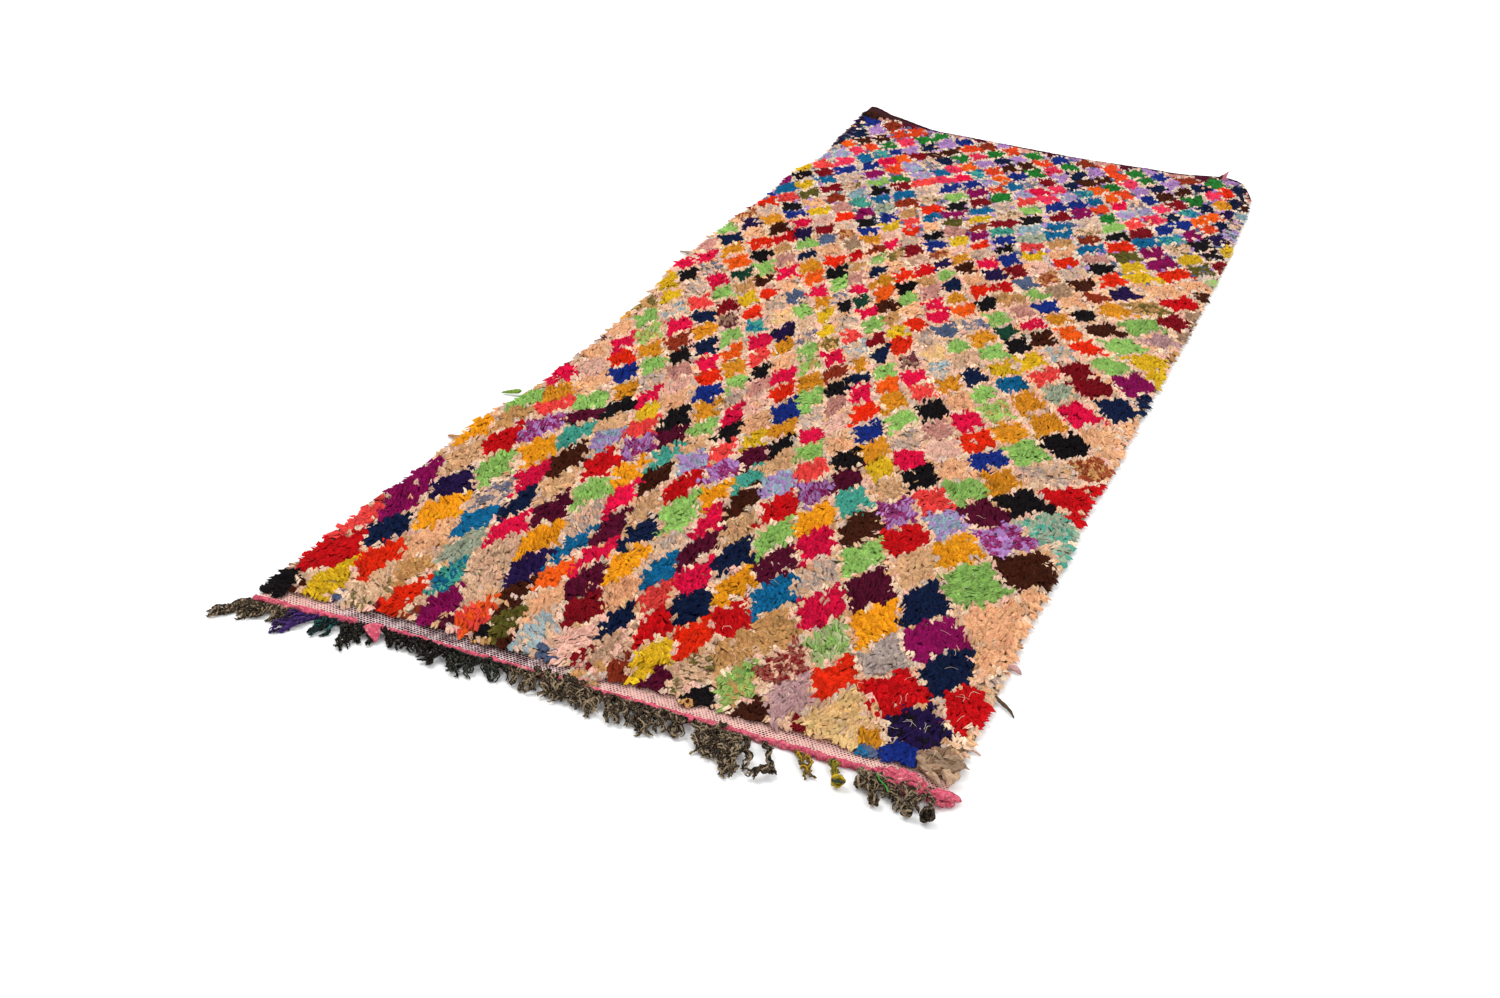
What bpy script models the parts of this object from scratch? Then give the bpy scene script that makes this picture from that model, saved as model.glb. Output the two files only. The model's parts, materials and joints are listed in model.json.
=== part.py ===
# A boucherouite rug laid flat: knotted rag pile on a woven ground, with flat-woven ends,
# a twisted rag edging along the near end, a bow in it, and a knotted yarn fringe.
# X runs across the rug, Y along it away from the fringe, and Z up from the floor.
import math
import random
from collections import namedtuple

import bmesh
import bpy
from mathutils import Vector, noise

# Driving dimensions in metres. A station is the distance along the rug from its near woven end.
RUG_LENGTH = 3.000
FRINGE_REACH = 0.128
CORNER_REACH = 0.062
PULL_START = 2.550
MIDDLE_STATION = (RUG_LENGTH + CORNER_REACH - FRINGE_REACH) / 2
CLEARANCE = 0.0003

WEAVE_THICK = 0.003
NEAR_WEAVE = 0.030
PILE_HEIGHT = 0.018
PILE_LUMP = 0.0070
LUMP_PITCH = 0.160
PILE_TUFT = 0.0030
TUFT_PITCH = 0.030
CUT_SHORTER = 0.30
CUT_START = 1.400
CUT_LENGTH = 1.200
PILE_SLOPE = 0.009
RIM_HEIGHT = 0.012
COLUMNS = 26
PILE_ROWS = 54

LOCK_REACH = (0.010, 0.022)
TOP_SHARE = 0.6
STEEP = 0.3
FACING = 0.7
LEVEL = 1e-6
SCRAP_X = 0.470

EDGING_RADIUS = 0.0048
EDGING_STEP = 0.024
LEFT_EDGING = (-0.560, -0.386)
RIGHT_EDGING = (-0.338, 0.510)
EDGING_SWELL = 0.16
EDGING_WANDER = 0.0002
EDGING_LARGEST = EDGING_RADIUS * (1 + EDGING_SWELL)

STRIP_WIDTH = 0.005
STRIP_HEIGHT = 0.005
STRIP_START = -(2 * EDGING_LARGEST + EDGING_WANDER + CLEARANCE)
GAP_STEP = 0.022

# The two long edges wander as the knots pull at the warp.
Side = namedtuple("Side", "station left right")
SIDES = [
    Side(0.00, -0.562, 0.572),
    Side(0.20, -0.566, 0.573),
    Side(0.50, -0.552, 0.564),
    Side(0.70, -0.558, 0.570),
    Side(0.95, -0.529, 0.562),
    Side(1.10, -0.527, 0.569),
    Side(1.40, -0.537, 0.567),
    Side(1.70, -0.564, 0.572),
    Side(2.00, -0.561, 0.577),
    Side(2.20, -0.553, 0.576),
    Side(2.40, -0.562, 0.577),
    Side(2.60, -0.539, 0.569),
    Side(2.80, -0.562, 0.566),
    Side(3.00, -0.560, 0.556),
]

# The far end: how far it is pulled out past the rug's length, and how much of it is bare weave.
FarEnd = namedtuple("FarEnd", "x reach weave")
FAR_END = [
    FarEnd(-0.562, 0.048, 0.040),
    FarEnd(-0.470, 0.012, 0.026),
    FarEnd(-0.330, -0.010, 0.014),
    FarEnd(0.050, -0.014, 0.010),
    FarEnd(0.300, 0.010, 0.010),
    FarEnd(0.470, 0.040, 0.014),
    FarEnd(0.512, 0.020, 0.012),
    FarEnd(0.556, -0.085, 0.010),
]

# A far corner that doesn't lie quite flat.
Curl = namedtuple("Curl", "x station lift radius")
CURLS = [
    Curl(-0.562, 3.05, 0.020, 0.24),
    Curl(0.500, 3.04, 0.006, 0.16),
]

# Rag ends at the long sides that hang out further than the rest.
Tail = namedtuple("Tail", "side station reach lean")
TAILS = [
    Tail(-1, 0.62, 0.030, 0.010),
    Tail(-1, 0.86, 0.026, -0.012),
    Tail(-1, 1.72, 0.032, 0.012),
    Tail(1, 0.265, 0.040, -0.020),
    Tail(1, 0.385, 0.028, 0.004),
]

# Sections of a pile lock at the side: shares of its reach, lean, root width and rim height.
SideStep = namedtuple("SideStep", "along lean width height")
SIDE_BELLY = SideStep(0.50, 0.40, 0.66, 0.80)
SIDE_TIP = SideStep(1.00, 1.00, 0.15, 0.25)
SIDE_LEAN = 0.28

# Sections of the two scraps at the far end, as steps from their roots.
ScrapStep = namedtuple("ScrapStep", "across out rise width height")
CORNER_TIP = [
    ScrapStep(-0.010, 0.010, 0.000, 0.016, 0.003),
    ScrapStep(-0.014, 0.019, 0.001, 0.005, 0.002),
]
STANDING_SCRAP = [
    ScrapStep(0.000, 0.004, 0.000, 0.030, 0.012),
    ScrapStep(0.003, 0.006, 0.010, 0.022, 0.014),
    ScrapStep(0.008, 0.007, 0.028, 0.010, 0.008),
]

# Clumps of the fringe, from left to right: where their roots lie across the rug, how many
# locks each has, and how far and with what sideways lean and bulk they run out on the floor.
Clump = namedtuple("Clump", "start end locks reach lean height")
CLUMPS = [
    Clump(-0.574, -0.548, 4, 0.058, -0.030, 0.010),
    Clump(-0.546, -0.508, 5, 0.106, 0.006, 0.014),
    Clump(-0.504, -0.462, 5, 0.080, 0.026, 0.012),
    Clump(-0.456, -0.410, 4, 0.068, 0.040, 0.010),
    Clump(-0.340, -0.256, 8, 0.050, 0.026, 0.012),
    Clump(-0.254, -0.176, 7, 0.052, 0.024, 0.013),
    Clump(-0.174, -0.098, 7, 0.050, 0.026, 0.013),
    Clump(-0.092, -0.010, 7, 0.062, 0.030, 0.014),
    Clump(-0.004, 0.080, 7, 0.062, 0.028, 0.014),
    Clump(0.086, 0.170, 7, 0.066, 0.026, 0.015),
    Clump(0.182, 0.262, 8, 0.106, 0.052, 0.014),
    Clump(0.278, 0.300, 2, 0.080, 0.044, 0.016),
    Clump(0.348, 0.366, 2, 0.066, 0.030, 0.014),
    Clump(0.398, 0.418, 2, 0.054, 0.028, 0.016),
    Clump(0.444, 0.488, 4, 0.056, 0.024, 0.016),
    Clump(0.506, 0.548, 4, 0.068, 0.028, 0.015),
]

# Shape of one fringe lock from its root to its tip, as shares of its reach, width and height.
LockStep = namedtuple("LockStep", "along width height")
LOCK_STEPS = [
    LockStep(0.24, 0.95, 0.85),
    LockStep(0.55, 1.00, 1.00),
    LockStep(0.82, 0.85, 0.70),
    LockStep(1.00, 0.35, 0.25),
]
LOCK_FILL = 0.86
LOCK_UNEVEN = (0.86, 1.0)
CLUMP_GATHER = 0.72
CLUMP_POINT = 0.26
FringeLock = namedtuple("FringeLock", "low high root lean reach height")

# The bow that ends the rag edging, on top of the fringe's knots at the near right corner.
BowPoint = namedtuple("BowPoint", "x station height radius")
BOW = [
    BowPoint(0.5125, -0.0080, 0.0100, 0.0040),
    BowPoint(0.5240, -0.0125, 0.0136, 0.0082),
    BowPoint(0.5380, -0.0160, 0.0142, 0.0088),
    BowPoint(0.5500, -0.0160, 0.0130, 0.0050),
    BowPoint(0.5660, -0.0145, 0.0110, 0.0072),
    BowPoint(0.5840, -0.0120, 0.0082, 0.0078),
    BowPoint(0.5980, -0.0110, 0.0060, 0.0036),
]

# The left length of the edging ends in a tail that turns out over the fringe's roots.
TAIL_OUT = [
    BowPoint(-0.3720, -0.0085, 0.0085, 0.0046),
    BowPoint(-0.3590, -0.0125, 0.0112, 0.0048),
    BowPoint(-0.3480, -0.0205, 0.0108, 0.0050),
    BowPoint(-0.3400, -0.0300, 0.0066, 0.0048),
    BowPoint(-0.3340, -0.0385, 0.0036, 0.0030),
]


def clear_scene():
    for old in list(bpy.data.objects):
        bpy.data.objects.remove(old, do_unlink=True)


def smooth_step(value):
    value = min(max(value, 0.0), 1.0)
    return value * value * (3 - 2 * value)


def read_table(rows, key, column, at):
    """Reads a column of a table at a place between its rows, eased from one row to the next."""
    if at <= getattr(rows[0], key):
        return getattr(rows[0], column)
    for before, after in zip(rows, rows[1:]):
        low, high = getattr(before, key), getattr(after, key)
        if at <= high:
            share = smooth_step((at - low) / (high - low))
            return getattr(before, column) * (1 - share) + getattr(after, column) * share
    return getattr(rows[-1], column)


def place(x, station, z):
    return Vector((x, station - MIDDLE_STATION, z))


def make_material(name, color, roughness):
    material = bpy.data.materials.new(name)
    material.use_nodes = True
    shader = material.node_tree.nodes["Principled BSDF"]
    shader.inputs["Base Color"].default_value = (*color, 1)
    shader.inputs["Roughness"].default_value = roughness
    shader.inputs["Metallic"].default_value = 0.0
    return material


def add_object(name, data, material, collection):
    data.materials.append(material)
    piece = bpy.data.objects.new(name, data)
    collection.objects.link(piece)
    return piece


def corner_lift(x, station):
    lift = 0.0
    for curl in CURLS:
        away = math.hypot(x - curl.x, station - curl.station)
        lift += curl.lift * smooth_step(1 - away / curl.radius)
    return lift


def pile_thickness(x, station):
    """Thickness of the pile: broad lumps, with single tufts that stand out between them."""
    at = Vector((x, station, 0.0))
    full = PILE_HEIGHT + PILE_LUMP * noise.noise(at / LUMP_PITCH) + PILE_TUFT * noise.cell(at / TUFT_PITCH)
    shorter = 1 - CUT_SHORTER * smooth_step((station - CUT_START) / CUT_LENGTH)
    return WEAVE_THICK + (full - WEAVE_THICK) * shorter


def row_stations():
    """Stations of the rows across the cloth: woven end, pile, woven end, with a flag for pile."""
    start = NEAR_WEAVE + PILE_SLOPE
    rows = [(0.0, False), (NEAR_WEAVE, False)]
    for row in range(PILE_ROWS + 1):
        rows.append((start + (RUG_LENGTH - PILE_SLOPE - start) * row / PILE_ROWS, True))
    rows.append((RUG_LENGTH, False))
    rows.append((RUG_LENGTH, False))
    return rows


def cloth_point(row, rows, share):
    """Place of a grid point on the cloth's upper side; the far end is pulled out at its corners."""
    station, piled = rows[row]
    left = read_table(SIDES, "station", "left", station)
    right = read_table(SIDES, "station", "right", station)
    x = left + (right - left) * share
    reach = read_table(FAR_END, "x", "reach", x)
    weave = read_table(FAR_END, "x", "weave", x)
    pulled = smooth_step((station - PULL_START) / (RUG_LENGTH - PULL_START))
    station += reach * pulled
    if row < len(rows) - 1:
        station -= weave * pulled
    thick = WEAVE_THICK
    if piled:
        thick = RIM_HEIGHT if share in (0.0, 1.0) else pile_thickness(x, station)
    return place(x, station, thick)


def make_cloth_grid():
    """The cloth's upper side as a grid, extruded down to a flat underside."""
    rows = row_stations()
    shape = bmesh.new()
    bmesh.ops.create_grid(shape, x_segments=COLUMNS, y_segments=len(rows) - 1, size=0.5)
    for vert in shape.verts:
        row = round((vert.co.y + 0.5) * (len(rows) - 1))
        share = round((vert.co.x + 0.5) * COLUMNS) / COLUMNS
        vert.co = cloth_point(row, rows, share)
    upper = list(shape.faces)
    made = bmesh.ops.extrude_face_region(shape, geom=upper)
    under = [item for item in made["geom"] if isinstance(item, bmesh.types.BMVert)]
    for vert in under:
        vert.co.z = 0.0
    bmesh.ops.recalc_face_normals(shape, faces=shape.faces)
    for vert in shape.verts:
        vert.co.z += corner_lift(vert.co.x, vert.co.y + MIDDLE_STATION)
    return shape


def wall_faces(shape):
    shape.normal_update()
    return [face for face in shape.faces if abs(face.normal.z) < STEEP]


def lock_corners(face, along):
    """A wall face's corners: low start, low end, high start, high end."""
    by_height = sorted(face.verts, key=lambda vert: vert.co.z)
    low = sorted(by_height[:2], key=lambda vert: vert.co.dot(along))
    high = sorted(by_height[2:], key=lambda vert: vert.co.dot(along))
    return low + high


def grow_lock(shape, face, along, sections):
    """Draws a lock out of a wall face; a section is its floor point, width and height."""
    for point, width, height in sections:
        made = bmesh.ops.extrude_discrete_faces(shape, faces=[face])
        face = made["faces"][0]
        corners = lock_corners(face, along)
        top = point + Vector((0, 0, height))
        corners[0].co = point - along * width / 2
        corners[1].co = point + along * width / 2
        corners[2].co = top - along * width * TOP_SHARE / 2
        corners[3].co = top + along * width * TOP_SHARE / 2


def spread(values):
    values = list(values)
    return max(values) - min(values)


def grow_side_locks(shape, chance):
    """Pile locks along both long edges, uneven, with a few longer rag ends among them."""
    along = Vector((0, 1, 0))
    for face in wall_faces(shape):
        tall = spread(vert.co.z for vert in face.verts)
        if abs(face.normal.x) < FACING or tall < (RIM_HEIGHT + WEAVE_THICK) / 2:
            continue
        side = 1 if face.normal.x > 0 else -1
        root = face.calc_center_median()
        root.z = min(vert.co.z for vert in face.verts)
        width = spread(vert.co.y for vert in face.verts)
        reach = chance.uniform(*LOCK_REACH)
        lean = chance.uniform(-SIDE_LEAN, SIDE_LEAN) * width
        for tail in TAILS:
            if tail.side == side and abs(tail.station - MIDDLE_STATION - root.y) <= width / 2:
                reach, lean = tail.reach, tail.lean
        sections = []
        for step in (SIDE_BELLY, SIDE_TIP):
            point = root + Vector((side * reach * step.along, lean * step.lean, 0))
            sections.append((point, width * step.width, RIM_HEIGHT * step.height))
        grow_lock(shape, face, along, sections)


def grow_scrap(shape, face, steps):
    root = face.calc_center_median()
    root.z = min(vert.co.z for vert in face.verts)
    sections = [(root + Vector((step.across, step.out, step.rise)), step.width, step.height)
                for step in steps]
    grow_lock(shape, face, Vector((1, 0, 0)), sections)


def grow_far_scraps(shape):
    """The pulled-out tip at the far left corner, and a scrap of weave that stands up at the right."""
    far = [face for face in wall_faces(shape)
           if face.normal.y > FACING and face.calc_center_median().y > MIDDLE_STATION]
    corner = min(far, key=lambda face: face.calc_center_median().x)
    scrap = min(far, key=lambda face: abs(face.calc_center_median().x - SCRAP_X))
    grow_scrap(shape, corner, CORNER_TIP)
    grow_scrap(shape, scrap, STANDING_SCRAP)


def join_underside(shape):
    """Joins the level underside's faces into one strip for each row, and triangulates the rest."""
    last = PULL_START - MIDDLE_STATION
    level = {face for face in shape.faces
             if all(vert.co.z < LEVEL and vert.co.y < last for vert in face.verts)}
    seams = []
    for edge in shape.edges:
        run = edge.verts[1].co - edge.verts[0].co
        if abs(run.y) > abs(run.x) and len(edge.link_faces) == 2 and level.issuperset(edge.link_faces):
            seams.append(edge)
    bmesh.ops.dissolve_edges(shape, edges=seams, use_verts=True)
    bmesh.ops.triangulate(shape, faces=shape.faces, quad_method="BEAUTY", ngon_method="BEAUTY")


def finish_mesh(shape, name):
    bmesh.ops.recalc_face_normals(shape, faces=shape.faces)
    mesh = bpy.data.meshes.new(name)
    shape.to_mesh(mesh)
    shape.free()
    return mesh


def make_pile_field(collection):
    shape = make_cloth_grid()
    grow_side_locks(shape, random.Random(11))
    grow_far_scraps(shape)
    join_underside(shape)
    mesh = finish_mesh(shape, "pile_field")
    mesh.shade_smooth()
    mesh.set_sharp_from_angle(angle=math.radians(50))
    return add_object("pile_field", mesh, make_material("rag_pile", (0.46, 0.16, 0.11), 0.95), collection)


def make_tube(name, points, material, collection):
    """A length of twisted rag: a round curve whose thickness follows its points."""
    curve = bpy.data.curves.new(name, "CURVE")
    curve.dimensions = "3D"
    curve.bevel_depth = EDGING_RADIUS
    curve.bevel_resolution = 2
    curve.use_fill_caps = True
    spline = curve.splines.new("POLY")
    spline.points.add(len(points) - 1)
    for target, point in zip(spline.points, points):
        target.co = (*place(point.x, point.station, point.height), 1)
        target.radius = point.radius / EDGING_RADIUS
    spline.use_smooth = True
    return add_object(name, curve, material, collection)


def edging_points(start, end, chance):
    """Points of an edging length that lies on the floor, its round side over the thin woven end."""
    count = max(2, round((end - start) / EDGING_STEP)) + 1
    points = []
    for index in range(count):
        x = start + (end - start) * index / (count - 1)
        radius = EDGING_RADIUS * (1 + chance.uniform(-EDGING_SWELL, EDGING_SWELL))
        reach = math.sqrt(radius ** 2 - (radius - WEAVE_THICK) ** 2)
        station = -(reach + CLEARANCE + chance.uniform(0, EDGING_WANDER))
        points.append(BowPoint(x, station, radius, radius))
    return points


def make_edging(collection):
    material = make_material("pink_rag", (0.75, 0.16, 0.22), 0.9)
    chance = random.Random(5)
    left = edging_points(*LEFT_EDGING, chance) + TAIL_OUT
    right = edging_points(*RIGHT_EDGING, chance)
    make_tube("rag_edging_left", left, material, collection)
    make_tube("rag_edging_right", right, material, collection)
    make_tube("edging_bow", BOW, material, collection)


def fringe_locks():
    """All locks in order across the rug; the locks of a clump lean alike and gather towards its end."""
    chance = random.Random(23)
    locks = []
    for clump in CLUMPS:
        pitch = (clump.end - clump.start) / clump.locks
        middle = (clump.start + clump.end) / 2
        for index in range(clump.locks):
            low = clump.start + pitch * index
            root = low + pitch / 2
            aside = abs(2 * (index + 0.5) / clump.locks - 1)
            reach = clump.reach * (1 - CLUMP_POINT * aside) * chance.uniform(*LOCK_UNEVEN)
            lean = (middle + clump.lean + (root - middle) * CLUMP_GATHER - root) / clump.reach
            height = clump.height * chance.uniform(*LOCK_UNEVEN)
            locks.append(FringeLock(low, low + pitch, root, lean, reach, height))
    return locks


def lock_room(locks, index, out):
    """Width that a lock may have at a distance from its root, clear of the locks beside it."""
    lock = locks[index]
    room = lock.high - lock.low
    for other in locks[max(index - 1, 0):index] + locks[index + 1:index + 2]:
        beside = other.root + other.lean * min(out, other.reach)
        room = min(room, abs(beside - lock.root - lock.lean * out))
    return room


def strip_edges(locks):
    """Places across the rug where the strip's sections stand: each lock's sides, and the gaps."""
    edges = [locks[0].low]
    for lock in locks:
        start = edges[-1]
        if lock.low - start > CLEARANCE:
            steps = max(1, round((lock.low - start) / GAP_STEP))
            edges += [start + (lock.low - start) * step / steps for step in range(1, steps + 1)]
        edges.append(lock.high)
    return edges


def make_fringe(collection):
    """A strip of knotted warp ends, with the locks drawn out of its near wall."""
    locks = fringe_locks()
    edges = strip_edges(locks)
    shape = bmesh.new()
    bmesh.ops.create_grid(shape, x_segments=len(edges) - 1, y_segments=1, size=0.5)
    for vert in shape.verts:
        x = edges[round((vert.co.x + 0.5) * (len(edges) - 1))]
        station = STRIP_START if vert.co.y > 0 else STRIP_START - STRIP_WIDTH
        vert.co = place(x, station, 0.0)
    made = bmesh.ops.extrude_face_region(shape, geom=list(shape.faces))
    for item in made["geom"]:
        if isinstance(item, bmesh.types.BMVert):
            item.co.z = STRIP_HEIGHT
    bmesh.ops.recalc_face_normals(shape, faces=shape.faces)

    near = [face for face in wall_faces(shape) if face.normal.y < -FACING]
    near.sort(key=lambda face: face.calc_center_median().x)
    middles = [face.calc_center_median().x for face in near]
    along = Vector((1, 0, 0))
    for index, lock in enumerate(locks):
        face = near[min(range(len(near)), key=lambda number: abs(middles[number] - lock.root))]
        sections = []
        for step in LOCK_STEPS:
            out = lock.reach * step.along
            point = place(lock.root + lock.lean * out, STRIP_START - STRIP_WIDTH - out, 0.0)
            width = lock_room(locks, index, out) * LOCK_FILL * step.width
            sections.append((point, width, lock.height * step.height))
        grow_lock(shape, face, along, sections)
    mesh = finish_mesh(shape, "fringe")
    return add_object("fringe", mesh, make_material("heather_yarn", (0.12, 0.09, 0.075), 0.95), collection)


def main():
    clear_scene()
    collection = bpy.data.collections.new("boucherouite_rug")
    bpy.context.scene.collection.children.link(collection)
    make_pile_field(collection)
    make_edging(collection)
    make_fringe(collection)


main()
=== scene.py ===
import json
import math
import random

import bmesh
import bpy
import numpy as np
from mathutils import Matrix, Vector, noise

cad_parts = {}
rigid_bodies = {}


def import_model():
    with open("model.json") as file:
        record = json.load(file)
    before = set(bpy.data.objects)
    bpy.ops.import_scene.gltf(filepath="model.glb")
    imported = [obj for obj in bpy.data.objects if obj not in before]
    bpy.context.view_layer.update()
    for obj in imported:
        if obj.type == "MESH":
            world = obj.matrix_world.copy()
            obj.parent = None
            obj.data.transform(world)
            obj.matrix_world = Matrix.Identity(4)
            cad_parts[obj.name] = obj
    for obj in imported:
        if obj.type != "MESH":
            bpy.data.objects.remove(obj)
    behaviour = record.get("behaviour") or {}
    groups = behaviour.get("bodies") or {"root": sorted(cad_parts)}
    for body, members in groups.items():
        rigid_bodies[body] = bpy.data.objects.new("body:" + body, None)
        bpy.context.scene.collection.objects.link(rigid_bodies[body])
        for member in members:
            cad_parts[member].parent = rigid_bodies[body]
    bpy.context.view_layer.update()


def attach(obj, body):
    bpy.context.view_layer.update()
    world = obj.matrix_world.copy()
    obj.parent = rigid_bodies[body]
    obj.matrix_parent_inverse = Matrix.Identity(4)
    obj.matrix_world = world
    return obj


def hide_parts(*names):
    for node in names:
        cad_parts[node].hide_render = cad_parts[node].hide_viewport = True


# A boucherouite rug laid flat on a pale floor: cut rags knotted in lozenges on a woven ground,
# a twisted rag edging with a bow along the near end, and a fringe of heather yarn.
# A station is the distance along the rug from its near woven end.

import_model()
print("frame loaded")


# The rug's outline, in the same sizes as the solids, in metres.

rug = {
    "length": 3.000,
    "middleStation": 1.467,
    "nearBand": 0.030,
    "weave": 0.003,
    "pullStart": 2.550,
    "pileHeight": 0.018,
    "pileLump": 0.0070,
    "lumpPitch": 0.160,
    "pileTuft": 0.0030,
    "tuftPitch": 0.030,
    "sag": 0.016,
    "sagStart": -0.325,
    "sagAcross": 0.24,
    "sagAlong": 0.30,
    "cutShorter": 0.30,  # how much shorter the rags are cut towards the far end, and where from
    "cutStart": 1.4,
    "cutRun": 1.2,
}
longSides = {
    "station": [0.00, 0.20, 0.50, 0.70, 0.95, 1.10, 1.40, 1.70, 2.00, 2.20, 2.40, 2.60, 2.80, 3.00],
    "left": [-.562, -.566, -.552, -.558, -.529, -.527, -.537,
             -.564, -.561, -.553, -.562, -.539, -.562, -.560],
    "right": [.572, .573, .564, .570, .562, .569, .567, .572, .577, .576, .577, .569, .566, .556],
}
farEnd = {
    "x": [-0.562, -0.470, -0.330, 0.050, 0.300, 0.470, 0.512, 0.556],
    "reach": [0.048, 0.012, -0.010, -0.014, 0.010, 0.040, 0.020, -0.085],
    "weave": [0.040, 0.026, 0.014, 0.010, 0.010, 0.014, 0.012, 0.010],
}
curls = [  # x, station, lift and radius of the far corners that don't lie flat
    (-0.562, 3.05, 0.020, 0.24),
    (0.500, 3.04, 0.006, 0.16),
]


def easeStep(value):
    value = np.clip(value, 0.0, 1.0)
    return value * value * (3 - 2 * value)


def easedTable(at, keys, values):
    keys, values = np.asarray(keys), np.asarray(values)
    at = np.clip(at, keys[0], keys[-1])
    step = np.clip(np.searchsorted(keys, at, side="right") - 1, 0, len(keys) - 2)
    share = easeStep((at - keys[step]) / (keys[step + 1] - keys[step]))
    return values[step] * (1 - share) + values[step + 1] * share


def cornerLift(x, station):
    lift = np.zeros_like(x)
    for curlX, curlStation, height, radius in curls:
        away = np.hypot(x - curlX, station - curlStation)
        lift = lift + height * easeStep(1 - away / radius)
    return lift


def nearSag(x):
    # the near edge isn't straight: it comes forward at its left end
    return -rug["sag"] * easeStep((rug["sagStart"] - np.asarray(x)) / rug["sagAcross"])


def sideLines(station):
    return [easedTable(station, longSides["station"], longSides[side]) for side in ("left", "right")]


def rugPlace(share, station, onWeave=0.0):
    # share runs from 0 at the left edge to 1 at the right; onWeave 1 keeps the bare far weave
    left, right = sideLines(station)
    x = left + (right - left) * share
    pulled = easeStep((station - rug["pullStart"]) / (rug["length"] - rug["pullStart"]))
    reach = easedTable(x, farEnd["x"], farEnd["reach"])
    weave = easedTable(x, farEnd["x"], farEnd["weave"])
    moved = station + pulled * (reach - weave * (1 - onWeave))
    moved = moved + nearSag(x) * easeStep(1 - station / rug["sagAlong"])
    return x, moved, cornerLift(x, moved)


def waver(x, y, pitch, seed):
    # smooth noise from -1 to 1 at every point
    places = zip(np.ravel(x) / pitch, np.ravel(y) / pitch)
    return np.array([noise.noise(Vector((a, b, seed * 7.31))) for a, b in places])


def cutShort(station):
    # the rags are cut shorter towards the far end
    return 1 - rug["cutShorter"] * easeStep((station - rug["cutStart"]) / rug["cutRun"])


def pileThickness(x, station):
    thick = []
    for a, b in zip(x, station):
        at = Vector((a, b, 0.0))
        lump = rug["pileLump"] * noise.noise(at / rug["lumpPitch"])
        tuft = rug["pileTuft"] * noise.cell(at / rug["tuftPitch"])
        thick.append(rug["pileHeight"] + lump + tuft)
    return np.array(thick)


# Dyes, and the lozenges that the rags are knotted in.

dyes = {  # sRGB, as the rags look in daylight
    "cream": (228, 192, 162), "straw": (236, 202, 142), "marigold": (246, 172, 34),
    "lemon": (228, 190, 44), "mustard": (222, 156, 44), "orangeRed": (233, 54, 14),
    "orange": (240, 108, 28), "coral": (238, 84, 80), "red": (208, 14, 28), "crimson": (142, 8, 34),
    "pinkRed": (228, 18, 82), "plum": (100, 12, 54), "purple": (150, 10, 98), "violet": (46, 26, 84),
    "lilac": (182, 144, 198), "mauve": (200, 162, 162), "navy": (12, 38, 76), "royalBlue": (26, 56, 140),
    "tealBlue": (0, 116, 160), "turquoise": (84, 172, 154), "lightBlue": (156, 182, 190),
    "greyBlue": (100, 114, 142), "green": (158, 199, 112), "farGreen": (44, 134, 58),
    "darkGreen": (28, 78, 60), "olive": (106, 100, 44), "greyGreen": (172, 180, 158),
    "brown": (78, 34, 16), "rust": (154, 60, 34), "black": (24, 21, 28), "camel": (206, 160, 106),
    "peach": (243, 190, 148), "dustyPink": (208, 154, 142), "palePink": (238, 194, 176),
    "taupe": (172, 142, 116), "grey": (186, 170, 162), "white": (226, 210, 194), "mint": (190, 196, 150),
    "hotPink": (240, 70, 106), "mist": (216, 194, 178), "paleCream": (242, 214, 188),
    "sand": (222, 180, 138), "flame": (232, 84, 40),
}
blends = {  # lozenges knotted from two rags: first, second and the second's share
    "creamMix": ("cream", "olive", 0.22), "greyMix": ("grey", "cream", 0.50),
    "tealMix": ("turquoise", "tealBlue", 0.45), "blueMix": ("lightBlue", "cream", 0.45),
    "taupeMix": ("taupe", "palePink", 0.35), "violetMix": ("violet", "black", 0.30),
    "crimsonMix": ("crimson", "cream", 0.35), "purpleMix": ("purple", "lilac", 0.50),
    "lilacMix": ("lilac", "lightBlue", 0.50), "coralMix": ("coral", "orange", 0.45),
    "greyTeal": ("greyGreen", "turquoise", 0.30), "oliveMix": ("olive", "camel", 0.45),
    "plumMix": ("plum", "taupe", 0.45), "steelMix": ("greyBlue", "cream", 0.40),
    "strawMix": ("straw", "cream", 0.20), "mintMix": ("mint", "green", 0.30),
    "rustMix": ("rust", "camel", 0.40), "greenMix": ("green", "camel", 0.30),
    "darkMix": ("brown", "black", 0.45),
}
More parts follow.
